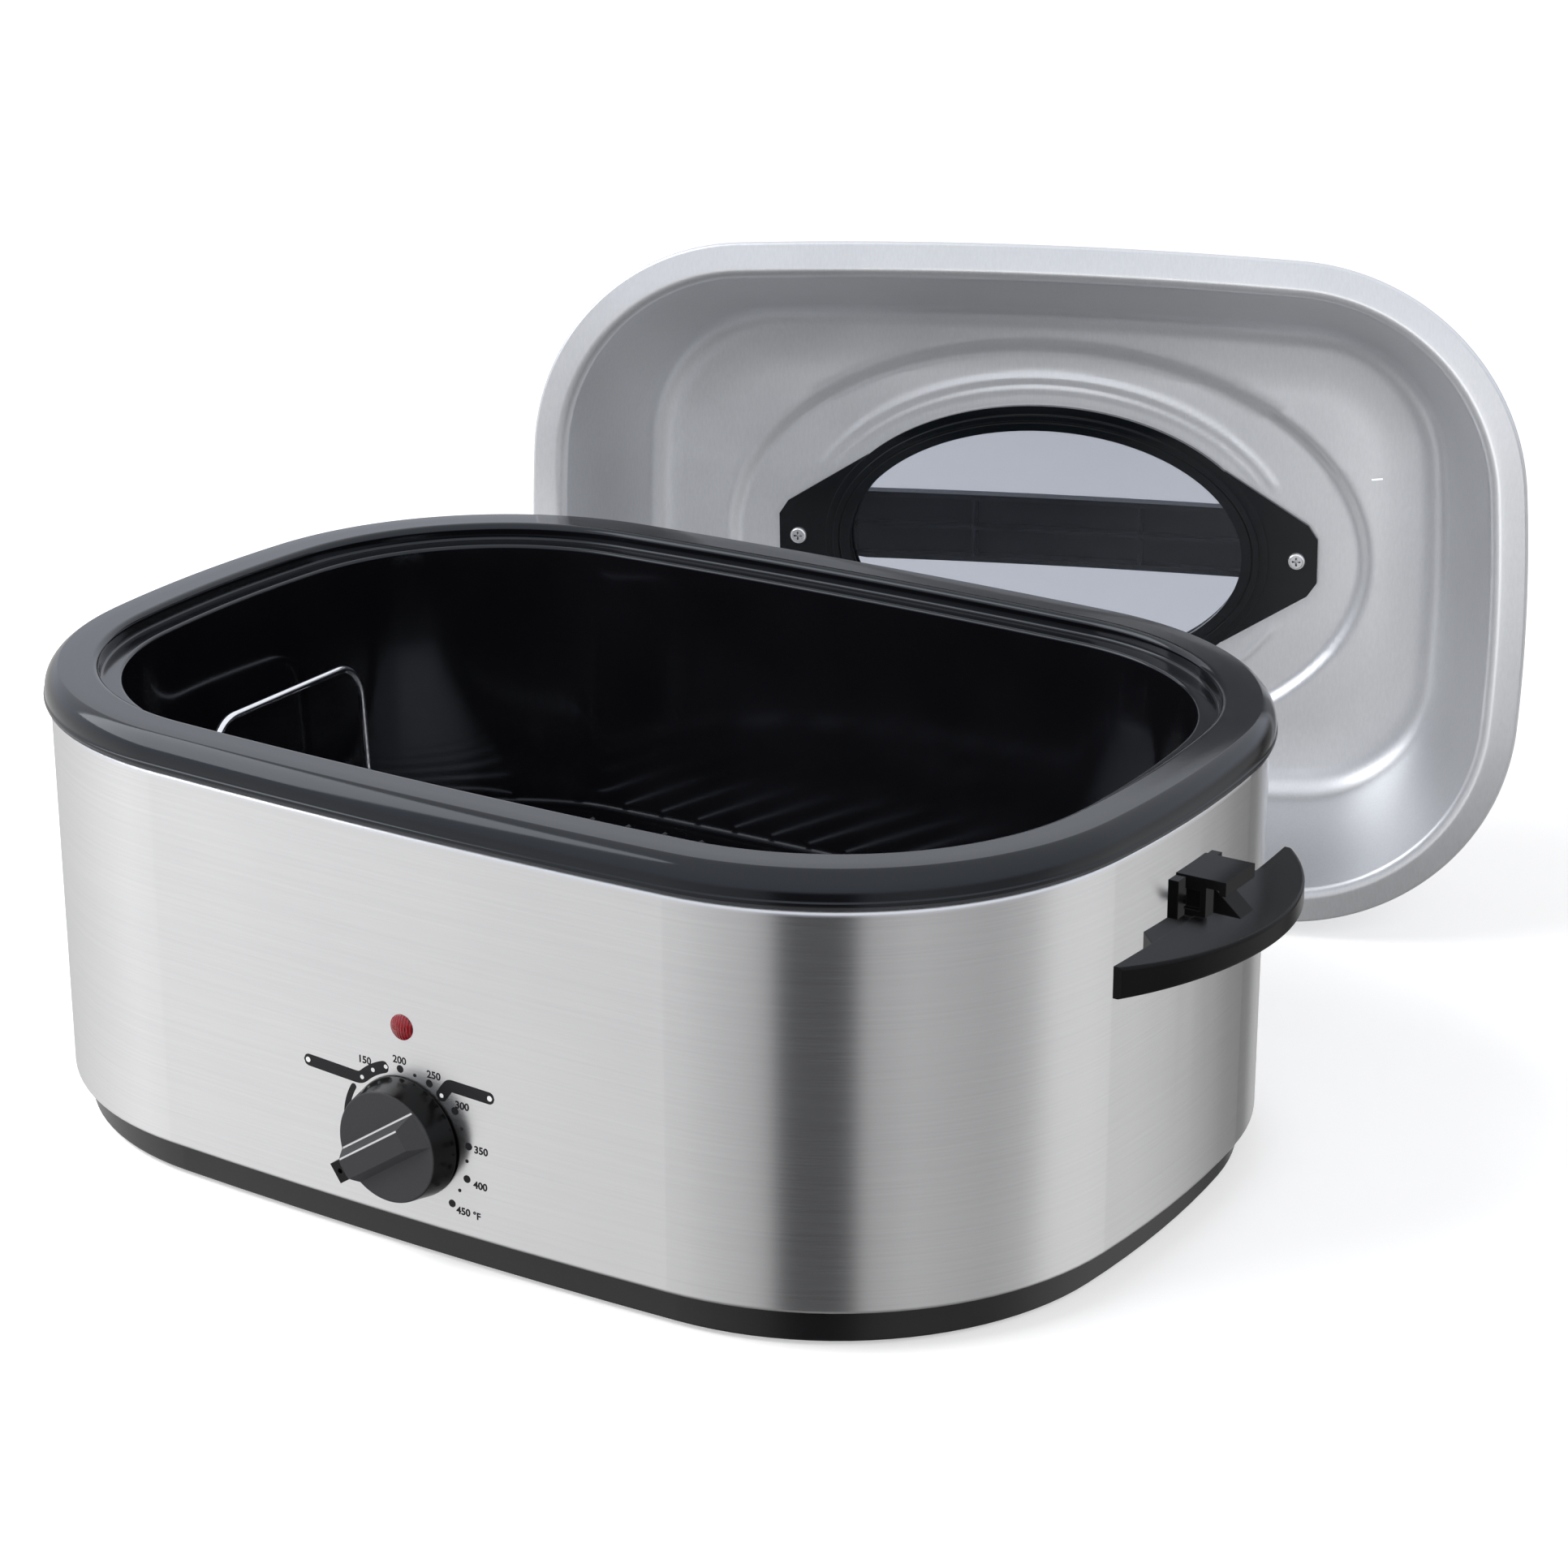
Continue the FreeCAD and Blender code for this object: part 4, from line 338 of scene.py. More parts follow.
def moulded_black(name="moulded_black", deep=(0.003, 0.003, 0.003), pale=(0.006, 0.006, 0.007),
                  rough=(0.2, 0.28)):
    """Phenolic moulding: black, satin, with a very fine skin."""
    material, f = finish(name)
    grain = f.noise(f.place(), scale=1800, detail=3)
    flow = f.noise(f.stretched(20, 45, 60))
    f.surface(base_color=f.tint(flow, deep, pale), roughness=grain.between(*rough), ior=1.2,
              normal=f.relief(grain, 0.00001, 0.12, edge=0.0006))
    return material


def knob_black():
    """Matte dark face and bar, glossy black skirt beyond the face's radius, and two fine pale stripes
    of painted highlight along the upper side of the grip, at its foot and at its ridge, where its
    edges would catch light from above."""
    material, f = finish("knob_black")
    x, _, z = f.split(f.place())
    right, up = x - PANEL_X, z - DIAL_Z
    radius = (right ** 2 + up ** 2) ** 0.5
    along = right * math.cos(GRIP_ANGLE) + up * math.sin(GRIP_ANGLE)
    above = right * math.sin(GRIP_ANGLE) - up * math.cos(GRIP_ANGLE)
    off_ridge, off_foot = [(above - line).math("ABSOLUTE").step(0.00025, 0.0005)
                           for line in (GRIP_RIDGE, GRIP_FOOT)]
    off_ridge = off_ridge + 1 - along.step(GRIP_TAIL, GRIP_TAIL + 0.0006)
    on_face = 1 - radius.step(KNOB_FACE_EDGE - 0.0006, KNOB_FACE_EDGE - 0.0002)
    # Painted highlight: pale stripes along the grip's upper edges, as if lit from above
    painted_edge_highlights = (1 - off_ridge.math("MINIMUM", off_foot, clamp=True)) * on_face
    grain = f.noise(f.place(), scale=1600, detail=3)
    skirt = radius.step(KNOB_FACE_EDGE, KNOB_FACE_EDGE + 0.0006)
    matte = f.tint(grain, (0.032, 0.032, 0.034), (0.046, 0.046, 0.049))
    gloss = f.tint(grain, (0.002, 0.002, 0.002), (0.004, 0.004, 0.004))
    black = f.over(skirt, matte, gloss)
    f.surface(base_color=f.over(painted_edge_highlights * 0.85, black, (0.62, 0.62, 0.63, 1.0)),
              roughness=grain.between(0.42, 0.54) - skirt * 0.28, ior=1.28,
              normal=f.relief(grain, 0.00003, 0.3, edge=0.0006))
    return material


def satin_aluminium():
    """Pressed aluminium with a fine rolled grain, small pits and soft clouding."""
    material, f = finish("satin_aluminium")
    grain = f.noise(f.stretched(900, 900, 260), detail=3, roughness=0.65)
    clouds = f.noise(f.place(), scale=14, detail=3)
    pits = 1 - f.grains(1100).step(0.03, 0.12)
    tone = (grain * 0.5 + clouds * 0.5).step(0.25, 0.75)
    dullness = (grain * 0.6 + clouds * 0.4).between(0.30, 0.40) + pits * 0.08
    f.surface(base_color=f.tint(tone, (0.61, 0.62, 0.64), (0.69, 0.70, 0.72)), metallic=0.8,
              roughness=dullness, normal=f.relief(grain - pits * 0.4, 0.00002, 0.4))
    return material


def window_frame_black():
    """Glossy black moulding with a blue-black cast."""
    material, f = finish("window_frame_black")
    grain = f.noise(f.place(), scale=1200)
    flow = f.noise(f.stretched(25, 25, 60))
    f.surface(base_color=f.tint(flow, (0.003, 0.004, 0.005), (0.006, 0.008, 0.010)),
              roughness=grain.between(0.08, 0.14), ior=1.44,
              normal=f.relief(grain, 0.00001, 0.15, edge=0.0005))
    return material


def smoked_glass():
    """Toughened pane with a lavender-grey tint and the faintest smears."""
    material, f = finish("smoked_glass")
    smears = f.noise(f.stretched(8, 8, 30), detail=3)
    f.surface(base_color=f.tint(smears, (0.575, 0.61, 0.69), (0.615, 0.645, 0.725)), ior=1.5,
              transmission_weight=1.0, roughness=smears.step(0.5, 0.9) * 0.02)
    return material


def gasket_rubber():
    """Dark silicone, dull from handling."""
    material, f = finish("gasket_rubber")
    grain = f.noise(f.place(), scale=1500)
    f.surface(base_color=f.tint(grain, (0.04, 0.04, 0.042), (0.075, 0.075, 0.078)),
              roughness=grain.between(0.55, 0.75), normal=f.relief(grain, 0.00003, 0.3))
    return material


FINISHES = {
    "stainless": brushed_stainless(),
    "black_base": satin_black_metal(),
    "cover_steel": dull_zinc(),
    "foot_rubber": foot_rubber(),
    "screw_steel": bright_steel(),
    "liner_enamel": black_enamel("well_enamel", (0.03, 0.03, 0.034), (0.055, 0.055, 0.06)),
    "pan_enamel": black_enamel(),
    "heater_foil": heater_foil(),
    "strap_steel": bright_steel("strap_steel", (0.5, 0.5, 0.5), (0.66, 0.66, 0.66), (0.28, 0.42)),
    "glass_fibre": glass_fibre(),
    "ceramic_white": fired_ceramic(),
    "brass": satin_brass(),
    "lens_red": red_lens(),
    "neon_glass": neon_glass(),
    "spring_steel": bright_steel("spring_steel", (0.42, 0.42, 0.44), (0.56, 0.56, 0.58),
                                 (0.25, 0.38)),
    "black_plastic": moulded_black(),
    "knob_plastic": knob_black(),
    "rack_chrome": rack_chrome(),
    "lid_aluminium": satin_aluminium(),
    "window_black": window_frame_black(),
    "window_glass": smoked_glass(),
    "gasket_silicone": gasket_rubber(),
    "handle_plastic": moulded_black("lid_handle_black", (0.018, 0.021, 0.022), (0.030, 0.034, 0.036),
                                    (0.3, 0.4)),
}


for part in frame["record"]["subparts"]:
    coats = frame["nodes"][part["node"]].data.materials
    coats.clear()
    coats.append(FINISHES[part["material_slot"]])

# The side grips' black reflections would smear over the steel beside them
for side_grip in ("handle_right", "handle_left"):
    frame["nodes"][side_grip].visible_glossy = False


# ------------------------------------------------------------------ meshes from arrays, in mm

CRISP = 24.0        # degrees between faces from which an edge stays sharp


def put(name, data):
    """Object at the origin, linked to the scene."""
    made = bpy.data.objects.new(name, data)
    bpy.context.scene.collection.objects.link(made)
    return made


def mesh_object(name, points, faces):
    """Object whose mesh has these points and groups of faces."""
    mesh = bpy.data.meshes.new(name)
    mesh.from_pydata(points.tolist(), [], [f for group in faces for f in group.tolist()])
    return put(name, mesh)


def band_faces(rows, around, looped=False):
    """Quads between neighbouring rows of points, closed round each row, and from the last row to
    the first if looped."""
    row = np.arange(rows if looped else rows - 1)[:, None] * around
    col = np.arange(around)[None, :]
    beside = (col + 1) % around
    above = (row + around) % (rows * around)
    return np.stack([row + col, row + beside, above + beside, above + col], -1).reshape(-1, 4)


def fan_faces(row_start, around, pole, first=False):
    """Triangles that close one row of points to a pole before the first row or after the last."""
    col = np.arange(around)
    beside = (col + 1) % around
    near, far = (beside, col) if first else (col, beside)
    return np.stack([row_start + near, row_start + far, np.full(around, pole)], -1)


def capped_faces(rows, around):
    """Bands closed at both ends by a fan, the first row's pole and the last row's after the rows."""
    return [band_faces(rows, around), fan_faces(0, around, rows * around, first=True),
            fan_faces((rows - 1) * around, around, rows * around + 1)]


def triangles(groups):
    """Every face of the groups cut into triangles from its first corner."""
    return np.concatenate([g[:, [0, i, i + 1]] for g in groups for i in range(1, g.shape[1] - 1)])


def piece(name, points, faces, material, body, stands_for=(), facing=None, crisp=CRISP):
    """Piece of (x, y, z) points in metres. A closed one is turned outwards by the sign of its
    volume, the sum of each triangle's corner times its area vector; a sheet by its facing."""
    corners = triangles(faces)
    a, b, c = points[corners[:, 0]], points[corners[:, 1]], points[corners[:, 2]]
    areas = np.cross(b - a, c - a)
    turned = (a * areas).sum() if facing is None else (areas.sum(0) * facing).sum()
    if turned < 0:
        faces = [f[:, ::-1] for f in faces]
    made = mesh_object(name, points, faces)
    made.data.polygons.foreach_set("use_smooth", np.ones(len(made.data.polygons), dtype=bool))
    made.data.set_sharp_from_angle(angle=math.radians(crisp))
    made.data.materials.append(material)
    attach(made, body)
    if stands_for:
        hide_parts(*stands_for)
    return made


def bend(centre, radius, start, end, steps):
    """Points of an arc of a profile, its angles in degrees."""
    angle = np.radians(np.linspace(start, end, steps + 1))
    return np.stack([centre[0] + radius * np.cos(angle), centre[1] + radius * np.sin(angle)], -1)


def bowed_outline(size, side_count=20, corner_count=44, end_count=12):
    """Closed outline of four bowed sides joined by round corners, as points and outward normals.
    Each point is the centre of the arc that owns its normal's angle, plus the radius along it."""
    half_length, half_width, side_radius, end_radius, corner_radius, (x, y) = size
    end_top = math.atan2(y, x - (half_length - end_radius))
    side_start = math.atan2(y - (half_width - side_radius), x)
    quarter = np.concatenate([
        np.linspace(0, end_top, end_count, endpoint=False),
        np.linspace(end_top, side_start, corner_count, endpoint=False),
        np.linspace(side_start, math.pi / 2, side_count, endpoint=False)])
    back = math.pi - np.append(quarter, math.pi / 2)[:0:-1]
    half = np.concatenate([quarter, back])
    angle = np.concatenate([half, half + math.pi])
    normal = np.stack([np.cos(angle), np.sin(angle)], -1)
    turn = np.arctan2(abs(normal[:, 1]), abs(normal[:, 0]))
    end, side = turn < end_top, turn >= side_start
    radius = np.where(end, end_radius, np.where(side, side_radius, corner_radius))
    centre_x = np.where(end, half_length - end_radius, np.where(side, 0.0, x))
    centre_y = np.where(end, 0.0, np.where(side, half_width - side_radius, y))
    centre = np.stack([centre_x, centre_y], -1) * np.sign(np.round(normal, 9))
    return centre + radius[:, None] * normal, normal


def carried(outline, scale, offset, height):
    """A profile carried round an outline: each row is the outline scaled, moved out by offset
    along its normals, at a height."""
    spots, normals = outline
    flat = scale[:, None, None] * (spots + offset[:, None, None] * normals)
    level = np.broadcast_to(height[:, None, None], flat.shape[:2] + (1,))
    return np.concatenate([flat, level], -1)


def smooth(value):
    """0 to 1 with level ends."""
    value = np.clip(value, 0.0, 1.0)
    return value * value * (3 - 2 * value)


# ------------------------------------------------------------------ cooking pan

BODY_HALF_WIDTH = 192.6
FRONT_BOW_RADIUS = 2644.0
# Half length and width, radii of the long sides, ends and corners, and a corner's centre
BODY_OUTLINE = (272.0, BODY_HALF_WIDTH, FRONT_BOW_RADIUS, 570.0, 143.3, (126.2009, 46.1135))


def cooking_pan():
    """Deep enamelled pan: floor, round foot, drafted wall, lid seat, land and rolled hem as offsets
    from the body's outline and heights, carried round it; the underside is the same profile a
    wall's thickness out."""
    wall, floor_edge, underside = 1.2, -54.5, 45.0
    inside = np.vstack([
        bend((floor_edge, 58.2), 12.0, -90, 0, 9),
        [(-40.0, 94.0), (-37.5, 130.0), (-35.0, 166.0), (-33.4, 190.0)],
        bend((-31.0, 202.7), 1.5, 180, 90, 5),
        [(-30.4, 204.2), (-27.4, 204.2), (-24.4, 204.2)],
        bend((-23.7, 205.7), 1.5, -90, 0, 5),
        [(-22.2, 206.8), (-22.2, 208.6)],
        bend((-19.2, 209.2), 3.0, 180, 90, 7),
        [(-18.6, 212.2), (-11.5, 212.2), (-4.3, 212.2), (-4.05, 212.18)],
        bend((-9.5, 201.53), 12.0, 61.5, 0, 12),
        [(2.5, 200.7), (2.62, 200.35), (2.95, 199.9), (3.05, 199.4), (3.05, 198.8), (2.85, 198.5)]])
    outside = np.vstack([
        bend((floor_edge, 58.2), 12.0 + wall, -90, 0, 9),
        [(-38.8, 94.0), (-36.3, 130.0), (-33.8, 166.0), (-32.2, 190.0)],
        bend((-31.0, 202.7), 0.3, 180, 90, 3),
        [(-27.4, 203.0)],
        bend((-23.7, 205.7), 1.5 + wall, -90, 0, 5),
        [(-21.0, 208.6)],
        bend((-19.2, 209.2), 3.0 - wall, 180, 90, 5),
        [(-11.5, 211.0), (-4.9, 211.0)],
        bend((-9.5, 201.53), 12.0 - wall, 61.5, 0, 9),
        [(1.3, 200.2), (1.3, 198.5)]])
    floor_scale = np.array([0.08, 0.2, 0.4, 0.6, 0.8])
    floor_offset = np.full_like(floor_scale, floor_edge)
    scale = np.concatenate([floor_scale, np.ones(len(outside) + len(inside)), floor_scale[::-1]])
    offset = np.concatenate([floor_offset, outside[:, 0], inside[::-1, 0], floor_offset])
    height = np.concatenate([np.full_like(floor_scale, underside), outside[:, 1],
                             inside[::-1, 1], np.full_like(floor_scale, underside + wall)])
    rows = carried(bowed_outline(BODY_OUTLINE), scale, offset, height)
    points = np.vstack([rows.reshape(-1, 3), [(0, 0, underside), (0, 0, underside + wall)]])
    piece("enamelled_pan", (points - (0, 1000 * SET_MIDDLE_Y, 0)) / 1000,
          capped_faces(*rows.shape[:2]), FINISHES["pan_enamel"], "pan", ("cook_pan",))


cooking_pan()


# ------------------------------------------------------------------ lid

LID_OUTLINE = (257.9, 175.3, 2752.0, 844.0, 119.4, (136.606, 52.353))
LID_SWING, LID_LEAN, LID_ROLL = math.radians(17.5), math.radians(88.4), math.radians(1.33)
LID_AXES = np.array(Matrix.Rotation(LID_SWING, 3, "Z") @ Matrix.Rotation(LID_LEAN, 3, "X")
                    @ Matrix.Rotation(LID_ROLL, 3, "Z"))
GLASS_BOX = np.array([list(corner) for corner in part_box("window_glass")])
GLASS_HEIGHT = -0.083           # of the pane's middle in the lid's own frame, in metres
LID_MIDDLE = GLASS_BOX.mean(0) - LID_AXES @ (0, 0, GLASS_HEIGHT)

LID_SHEET = 1.0
PANEL_HEIGHT = -77.0            # of the lid's flat panel, from the top of its shoulder
WINDOW_OVAL = (107.5, 66.0)
STEP_OVAL, STEP_WIDTH, STEP_HEIGHT = (169.2, 108.7), 9.0, 4.0
BEADS = (((133.0, 90.6), 3.6, 1.0), ((127.0, 84.6), 3.0, 0.55))     # oval, half width, weight
BEAD_HEIGHT = 0.45
BEAD_END, BEAD_FADE = 34, 7     # distance from the long axis where the bead arcs end
VENT_PLACE, VENT_TURN = (174.1, 45.7), math.radians(8)
VENT_RADIUS, VENT_HALF_RUN = 0.55, 2.5
VENT_CUT = (-90.0, -70.0)


def in_lid(points):
    """Lid-frame points in mm (along, across, out of the hollow) placed where the lid stands."""
    return LID_MIDDLE + points / 1000 @ LID_AXES.T


def ray_distance(flat, half_length, half_width):
    """How far each point lies outside an oval, measured along its ray from the middle."""
    reach = np.hypot(flat[..., 0], flat[..., 1])
    ratio = np.sqrt((flat[..., 0] / half_length) ** 2 + (flat[..., 1] / half_width) ** 2)
    return reach * (1 - 1 / np.maximum(ratio, 1e-6))


def lid_hollow_profile():
    """From the curled edge in: a rim that falls outwards by 8 degrees, a round shoulder, a
    67 degree wall, a soft foot and a dished edge of the panel, as distances in and heights."""
    fall = 8
    slope, steep, level = math.radians(fall), math.radians(67), math.radians(8)
    lip, shoulder, foot, middle, dish_width = 1.5, 6.0, 22.0, 13.2, 22.0
    lean = np.linspace(-slope, steep, 15)
    rounded = np.stack([middle + shoulder * np.sin(lean), shoulder * (np.cos(lean) - 1)], -1)
    start = rounded[0]
    edge_height = start[1] - (start[0] - lip) * math.tan(slope)
    curl = bend((lip, edge_height - lip), lip, 180, 90 + fall, 6)
    rim = start + (curl[-1] - start) * np.array([0.98, 0.6, 0.2])[:, None]
    foot_end = PANEL_HEIGHT + dish_width / 2 * math.tan(level)
    centre_height = foot_end + foot * math.cos(level)
    wall_end = centre_height - foot * math.cos(steep)
    last = rounded[-1]
    run = (last[1] - wall_end) / math.tan(steep)
    centre = (last[0] + run + foot * math.sin(steep), centre_height)
    wall = last + np.array([run, wall_end - last[1]]) * np.linspace(0.08, 0.92, 7)[:, None]
    turn = np.linspace(steep, level, 17)
    soft = np.stack([centre[0] - foot * np.sin(turn), centre[1] - foot * np.cos(turn)], -1)
    share = np.linspace(0.1, 1, 10)
    dish = np.stack([soft[-1, 0] + dish_width * share,
                     foot_end - dish_width * math.tan(level) * (share - share ** 2 / 2)], -1)
    tip = np.array([(0.0, -3.8), (0.0, -3.3)])
    return np.vstack([tip, curl, rim, rounded, wall, soft, dish])


def lid_dome_sheet():
    """Rows of the pressed lid: the hollow profile carried round the outline, then rays drawn in to
    the window's oval; an oval step and two bead arcs are added as heights over the panel. The
    other face is a sheet's thickness behind along the normals."""
    profile = lid_hollow_profile()
    outline = bowed_outline(LID_OUTLINE)
    pressed = carried(outline, np.ones(len(profile)), -profile[:, 0], profile[:, 1])
    edge = pressed[-1, :, :2]
    polar = np.arctan2(edge[:, 1], edge[:, 0])
    half_length, half_width = WINDOW_OVAL
    reach = 1 / np.sqrt((np.cos(polar) / half_length) ** 2 + (np.sin(polar) / half_width) ** 2)
    window = reach[:, None] * np.stack([np.cos(polar), np.sin(polar)], -1)
    share = np.linspace(0, 1, 49)[1:, None, None]
    flat = edge + (window - edge) * share
    inner = np.concatenate([flat, np.full(flat.shape[:2] + (1,), profile[-1, 1])], -1)
    sheet = np.concatenate([pressed, inner])
    spots = sheet[..., :2]
    # The step and the beads come in between 60 and 72 mm deep, where the wall meets the panel
    on_panel = smooth((-60 - sheet[..., 2]) / 12)
    step = smooth((STEP_WIDTH / 2 - ray_distance(spots, *STEP_OVAL)) / STEP_WIDTH)
    bead = sum(weight * np.clip(1 - (ray_distance(spots, *oval) / half) ** 2, 0, 1) ** 2
               for oval, half, weight in BEADS)
    ends = smooth((abs(spots[..., 1]) - BEAD_END) / BEAD_FADE)
    sheet[..., 2] += on_panel * (BEAD_HEIGHT * bead * ends - STEP_HEIGHT * step)
    across = np.roll(sheet, -1, 1) - np.roll(sheet, 1, 1)
    inward = np.gradient(sheet, axis=0)
    normal = np.cross(inward, across)
    normal /= np.linalg.norm(normal, axis=-1, keepdims=True)
    normal *= np.sign(normal[-1, 0, 2])
    behind = sheet - LID_SHEET * normal
    return np.concatenate([behind[::-1], sheet])


def lid_vent_cutter():
    """Bar through the panel for its steam slot: a circle whose two halves are moved apart along
    the slot, drawn at both heights of the cut."""
    angle = np.linspace(0, 2 * math.pi, 24, endpoint=False)
    x = VENT_RADIUS * np.cos(angle) + VENT_HALF_RUN * np.sign(np.round(np.cos(angle), 9))
    y = VENT_RADIUS * np.sin(angle)
    cos, sin = math.cos(VENT_TURN), math.sin(VENT_TURN)
    ring = np.stack([VENT_PLACE[0] + x * cos - y * sin, VENT_PLACE[1] + x * sin + y * cos], -1)
    rows = np.stack([np.column_stack([ring, np.full(len(ring), height)]) for height in VENT_CUT])
    points = np.vstack([rows.reshape(-1, 3), [(*VENT_PLACE, height) for height in VENT_CUT]])
    return mesh_object("vent_cutter", in_lid(points), capped_faces(*rows.shape[:2]))


def cut_through(made, cutter):
    """Cut one closed mesh by another and keep the result as the piece's own mesh."""
    change = made.modifiers.new("slot", "BOOLEAN")
    change.operation = "DIFFERENCE"
    change.solver = "EXACT"
    change.object = cutter
    view = bpy.context.evaluated_depsgraph_get()
    view.update()
    result = bpy.data.meshes.new_from_object(made.evaluated_get(view))
    made.modifiers.clear()
    made.data = result
    result.set_sharp_from_angle(angle=math.radians(CRISP))
    bpy.data.objects.remove(cutter)


def lid_shell():
    """The pressed lid with its steam slot."""
    rows = lid_dome_sheet()
    faces = [band_faces(*rows.shape[:2], looped=True)]
    made = piece("lid_shell", in_lid(rows.reshape(-1, 3)), faces, FINISHES["lid_aluminium"], "lid",
                 ("lid_dome",))
    cut_through(made, lid_vent_cutter())


lid_shell()


# ------------------------------------------------------------------ lamp lens

LENS_RADIUS, LENS_EDGE, LENS_CROWN, LENS_RIPPLE = 5.7, 0.4, 1.9, 0.13
LENS_FLANGE, LENS_POCKET = 7.9, 3.25


def front_y(x):
    """The bowed front face of the body at a distance x from its middle."""
    return -BODY_HALF_WIDTH + FRONT_BOW_RADIUS - np.sqrt(FRONT_BOW_RADIUS ** 2 - x ** 2)


def on_front(x, z, out):
    """Points over the front face, in metres, from x, z and how far they stand out in mm."""
    return np.stack([x, front_y(x) - out - 1000 * SET_MIDDLE_Y, z], -1) / 1000


def lamp_lens():
    """Low red dome with upright ribs: rise = edge + crown that falls with the square of the radius
    + a cosine ripple along x, then the barrel, a flange behind the panel and the lamp's pocket."""
    angle = np.linspace(0, 2 * math.pi, 96, endpoint=False)
    radius = np.array([0.25, 0.8, 1.4, 2.0, 2.6, 3.2, 3.8, 4.3, 4.8, 5.2, 5.5, LENS_RADIUS])
    x = radius[:, None] * np.cos(angle)
    z = radius[:, None] * np.sin(angle)
    rise = LENS_EDGE + LENS_CROWN * (1 - (radius / LENS_RADIUS) ** 2)
    fade = np.clip((LENS_RADIUS - radius[:, None]) / 0.5, 0, 1)
    ripple = LENS_RIPPLE * np.cos(2 * math.pi * x / (1000 * LENS_RIB_PITCH)) * fade
    dome = np.stack([x, z, rise[:, None] + ripple], -1)
    back = np.array([(LENS_RADIUS, 0.0), (LENS_RADIUS, -1.05), (LENS_FLANGE, -1.05),
                     (LENS_FLANGE, -3.0), (LENS_POCKET, -3.0), (LENS_POCKET, -1.5)])
    rest = np.stack([back[:, :1] * np.cos(angle), back[:, :1] * np.sin(angle),
                     np.broadcast_to(back[:, 1:], (len(back), len(angle)))], -1)
    rows = np.concatenate([dome, rest])
    top = LENS_EDGE + LENS_CROWN + LENS_RIPPLE
    flat = np.vstack([rows.reshape(-1, 3), [(0, 0, top), (0, 0, back[-1, 1])]])
    points = np.stack([flat[:, 0] + 1000 * PANEL_X,
                       -BODY_HALF_WIDTH - flat[:, 2] - 1000 * SET_MIDDLE_Y,
                       flat[:, 1] + 1000 * LAMP_Z], -1) / 1000
    piece("lamp_lens", points, capped_faces(*rows.shape[:2]), FINISHES["lens_red"], "oven_body",
          ("indicator_lens",), crisp=35)


lamp_lens()


# ------------------------------------------------------------------ printed dial

# Places on the front as (x, z), in mm
DIAL_BIG_DOTS = ((1.0, 88.9), (16.3, 85.9), (29.2, 76.4), (35.8, 61.6), (34.4, 46.1), (26.2, 32.6))
DIAL_SMALL_DOTS = ((8.7, 87.8), (32.3, 68.9), (34.7, 54.5), (30.4, 39.8))
DIAL_NUMBERS = (("150", -17.7, 88.5), ("200", 0.8, 93.0), ("250", 18.7, 90.2), ("300", 33.1, 79.6),
                ("350", 42.2, 61.0), ("400", 41.2, 44.5), ("450", 31.9, 30.3), ("°F", 39.0, 30.0))
BIG_DOT, SMALL_DOT = 1.75, 0.8
NUMERAL_HEIGHT, NUMERAL_WEIGHT = 3.5, 0.022

TAG_RADIUS, ARC_RADIUS = 31.5, 32.0
TAG_WIDTH, ARC_WIDTH = 5.5, 2.8
LONG_TAG_START = [(-51.6, 81.1), (-21.6, 79.5)]
LONG_TAG_END = (136, 104.5)             # in degrees round the knob, as are the next two
ARC_ENDS = (146.4, 190)
LONG_TAG_LIGHTS = (135.4, 121.3, 107.2)
SHORT_TAG = [(20.9, 79.7), (26.6, 87.5), (49.8, 86.4)]
TAG_LIGHT = 1.0
TAG_END_LIGHTS = ((-49.3, 81.0, 1.25), (22.6, 81.9, 1.0), (47.5, 86.5, 1.25))     # x, z, radius
DARK_LIFT, LIGHT_LIFT = 0.06, 0.10


def dial_spot(angle, radius=TAG_RADIUS):
    """A place round the knob, its angle in degrees from the right."""
    turn = np.radians(angle)
    return np.stack([1000 * PANEL_X + radius * np.cos(turn),
                     1000 * DIAL_Z + radius * np.sin(turn)], -1)


def ribbon(line, width, steps=61):
    """Flat band along a line of (x, z) points: each row is the line moved to both sides by half
    the width, which shrinks as the root of a circle towards both ends."""
    line = np.asarray(line)
    length = np.append(0, np.cumsum(np.hypot(*np.diff(line, axis=0).T)))
    half = width / 2
    place = np.linspace(0, length[-1], steps)
    x, z = np.interp(place, length, line[:, 0]), np.interp(place, length, line[:, 1])
    blur = np.ones(5) / 5
    x[2:-2], z[2:-2] = np.convolve(x, blur, "valid"), np.convolve(z, blur, "valid")
    along = np.stack([np.gradient(x), np.gradient(z)], -1)
    along /= np.linalg.norm(along, axis=1, keepdims=True)
    near = np.clip(np.minimum(place, length[-1] - place) / half, 0, 1)
    reach = half * np.sqrt(np.maximum(1 - (1 - near) ** 2, 0.0004))
    sideways = np.stack([-along[:, 1], along[:, 0]], -1)
    return np.stack([x, z], -1) + np.linspace(-1, 1, 5)[:, None, None] * reach[:, None] * sideways


def sheet_faces(rows, across):
    """Quads of an open grid."""
    first = np.arange(rows - 1)[:, None] * across + np.arange(across - 1)
    return np.stack([first, first + 1, first + across + 1, first + across], -1).reshape(-1, 4)


def disc(x, z, radius, around=28):
    """Flat round dot as a fan, its points and faces."""
    angle = np.linspace(0, 2 * math.pi, around, endpoint=False)
    ring = np.stack([x + radius * np.cos(angle), z + radius * np.sin(angle)], -1)
    return np.vstack([ring, [(x, z)]]), fan_faces(0, around, around)


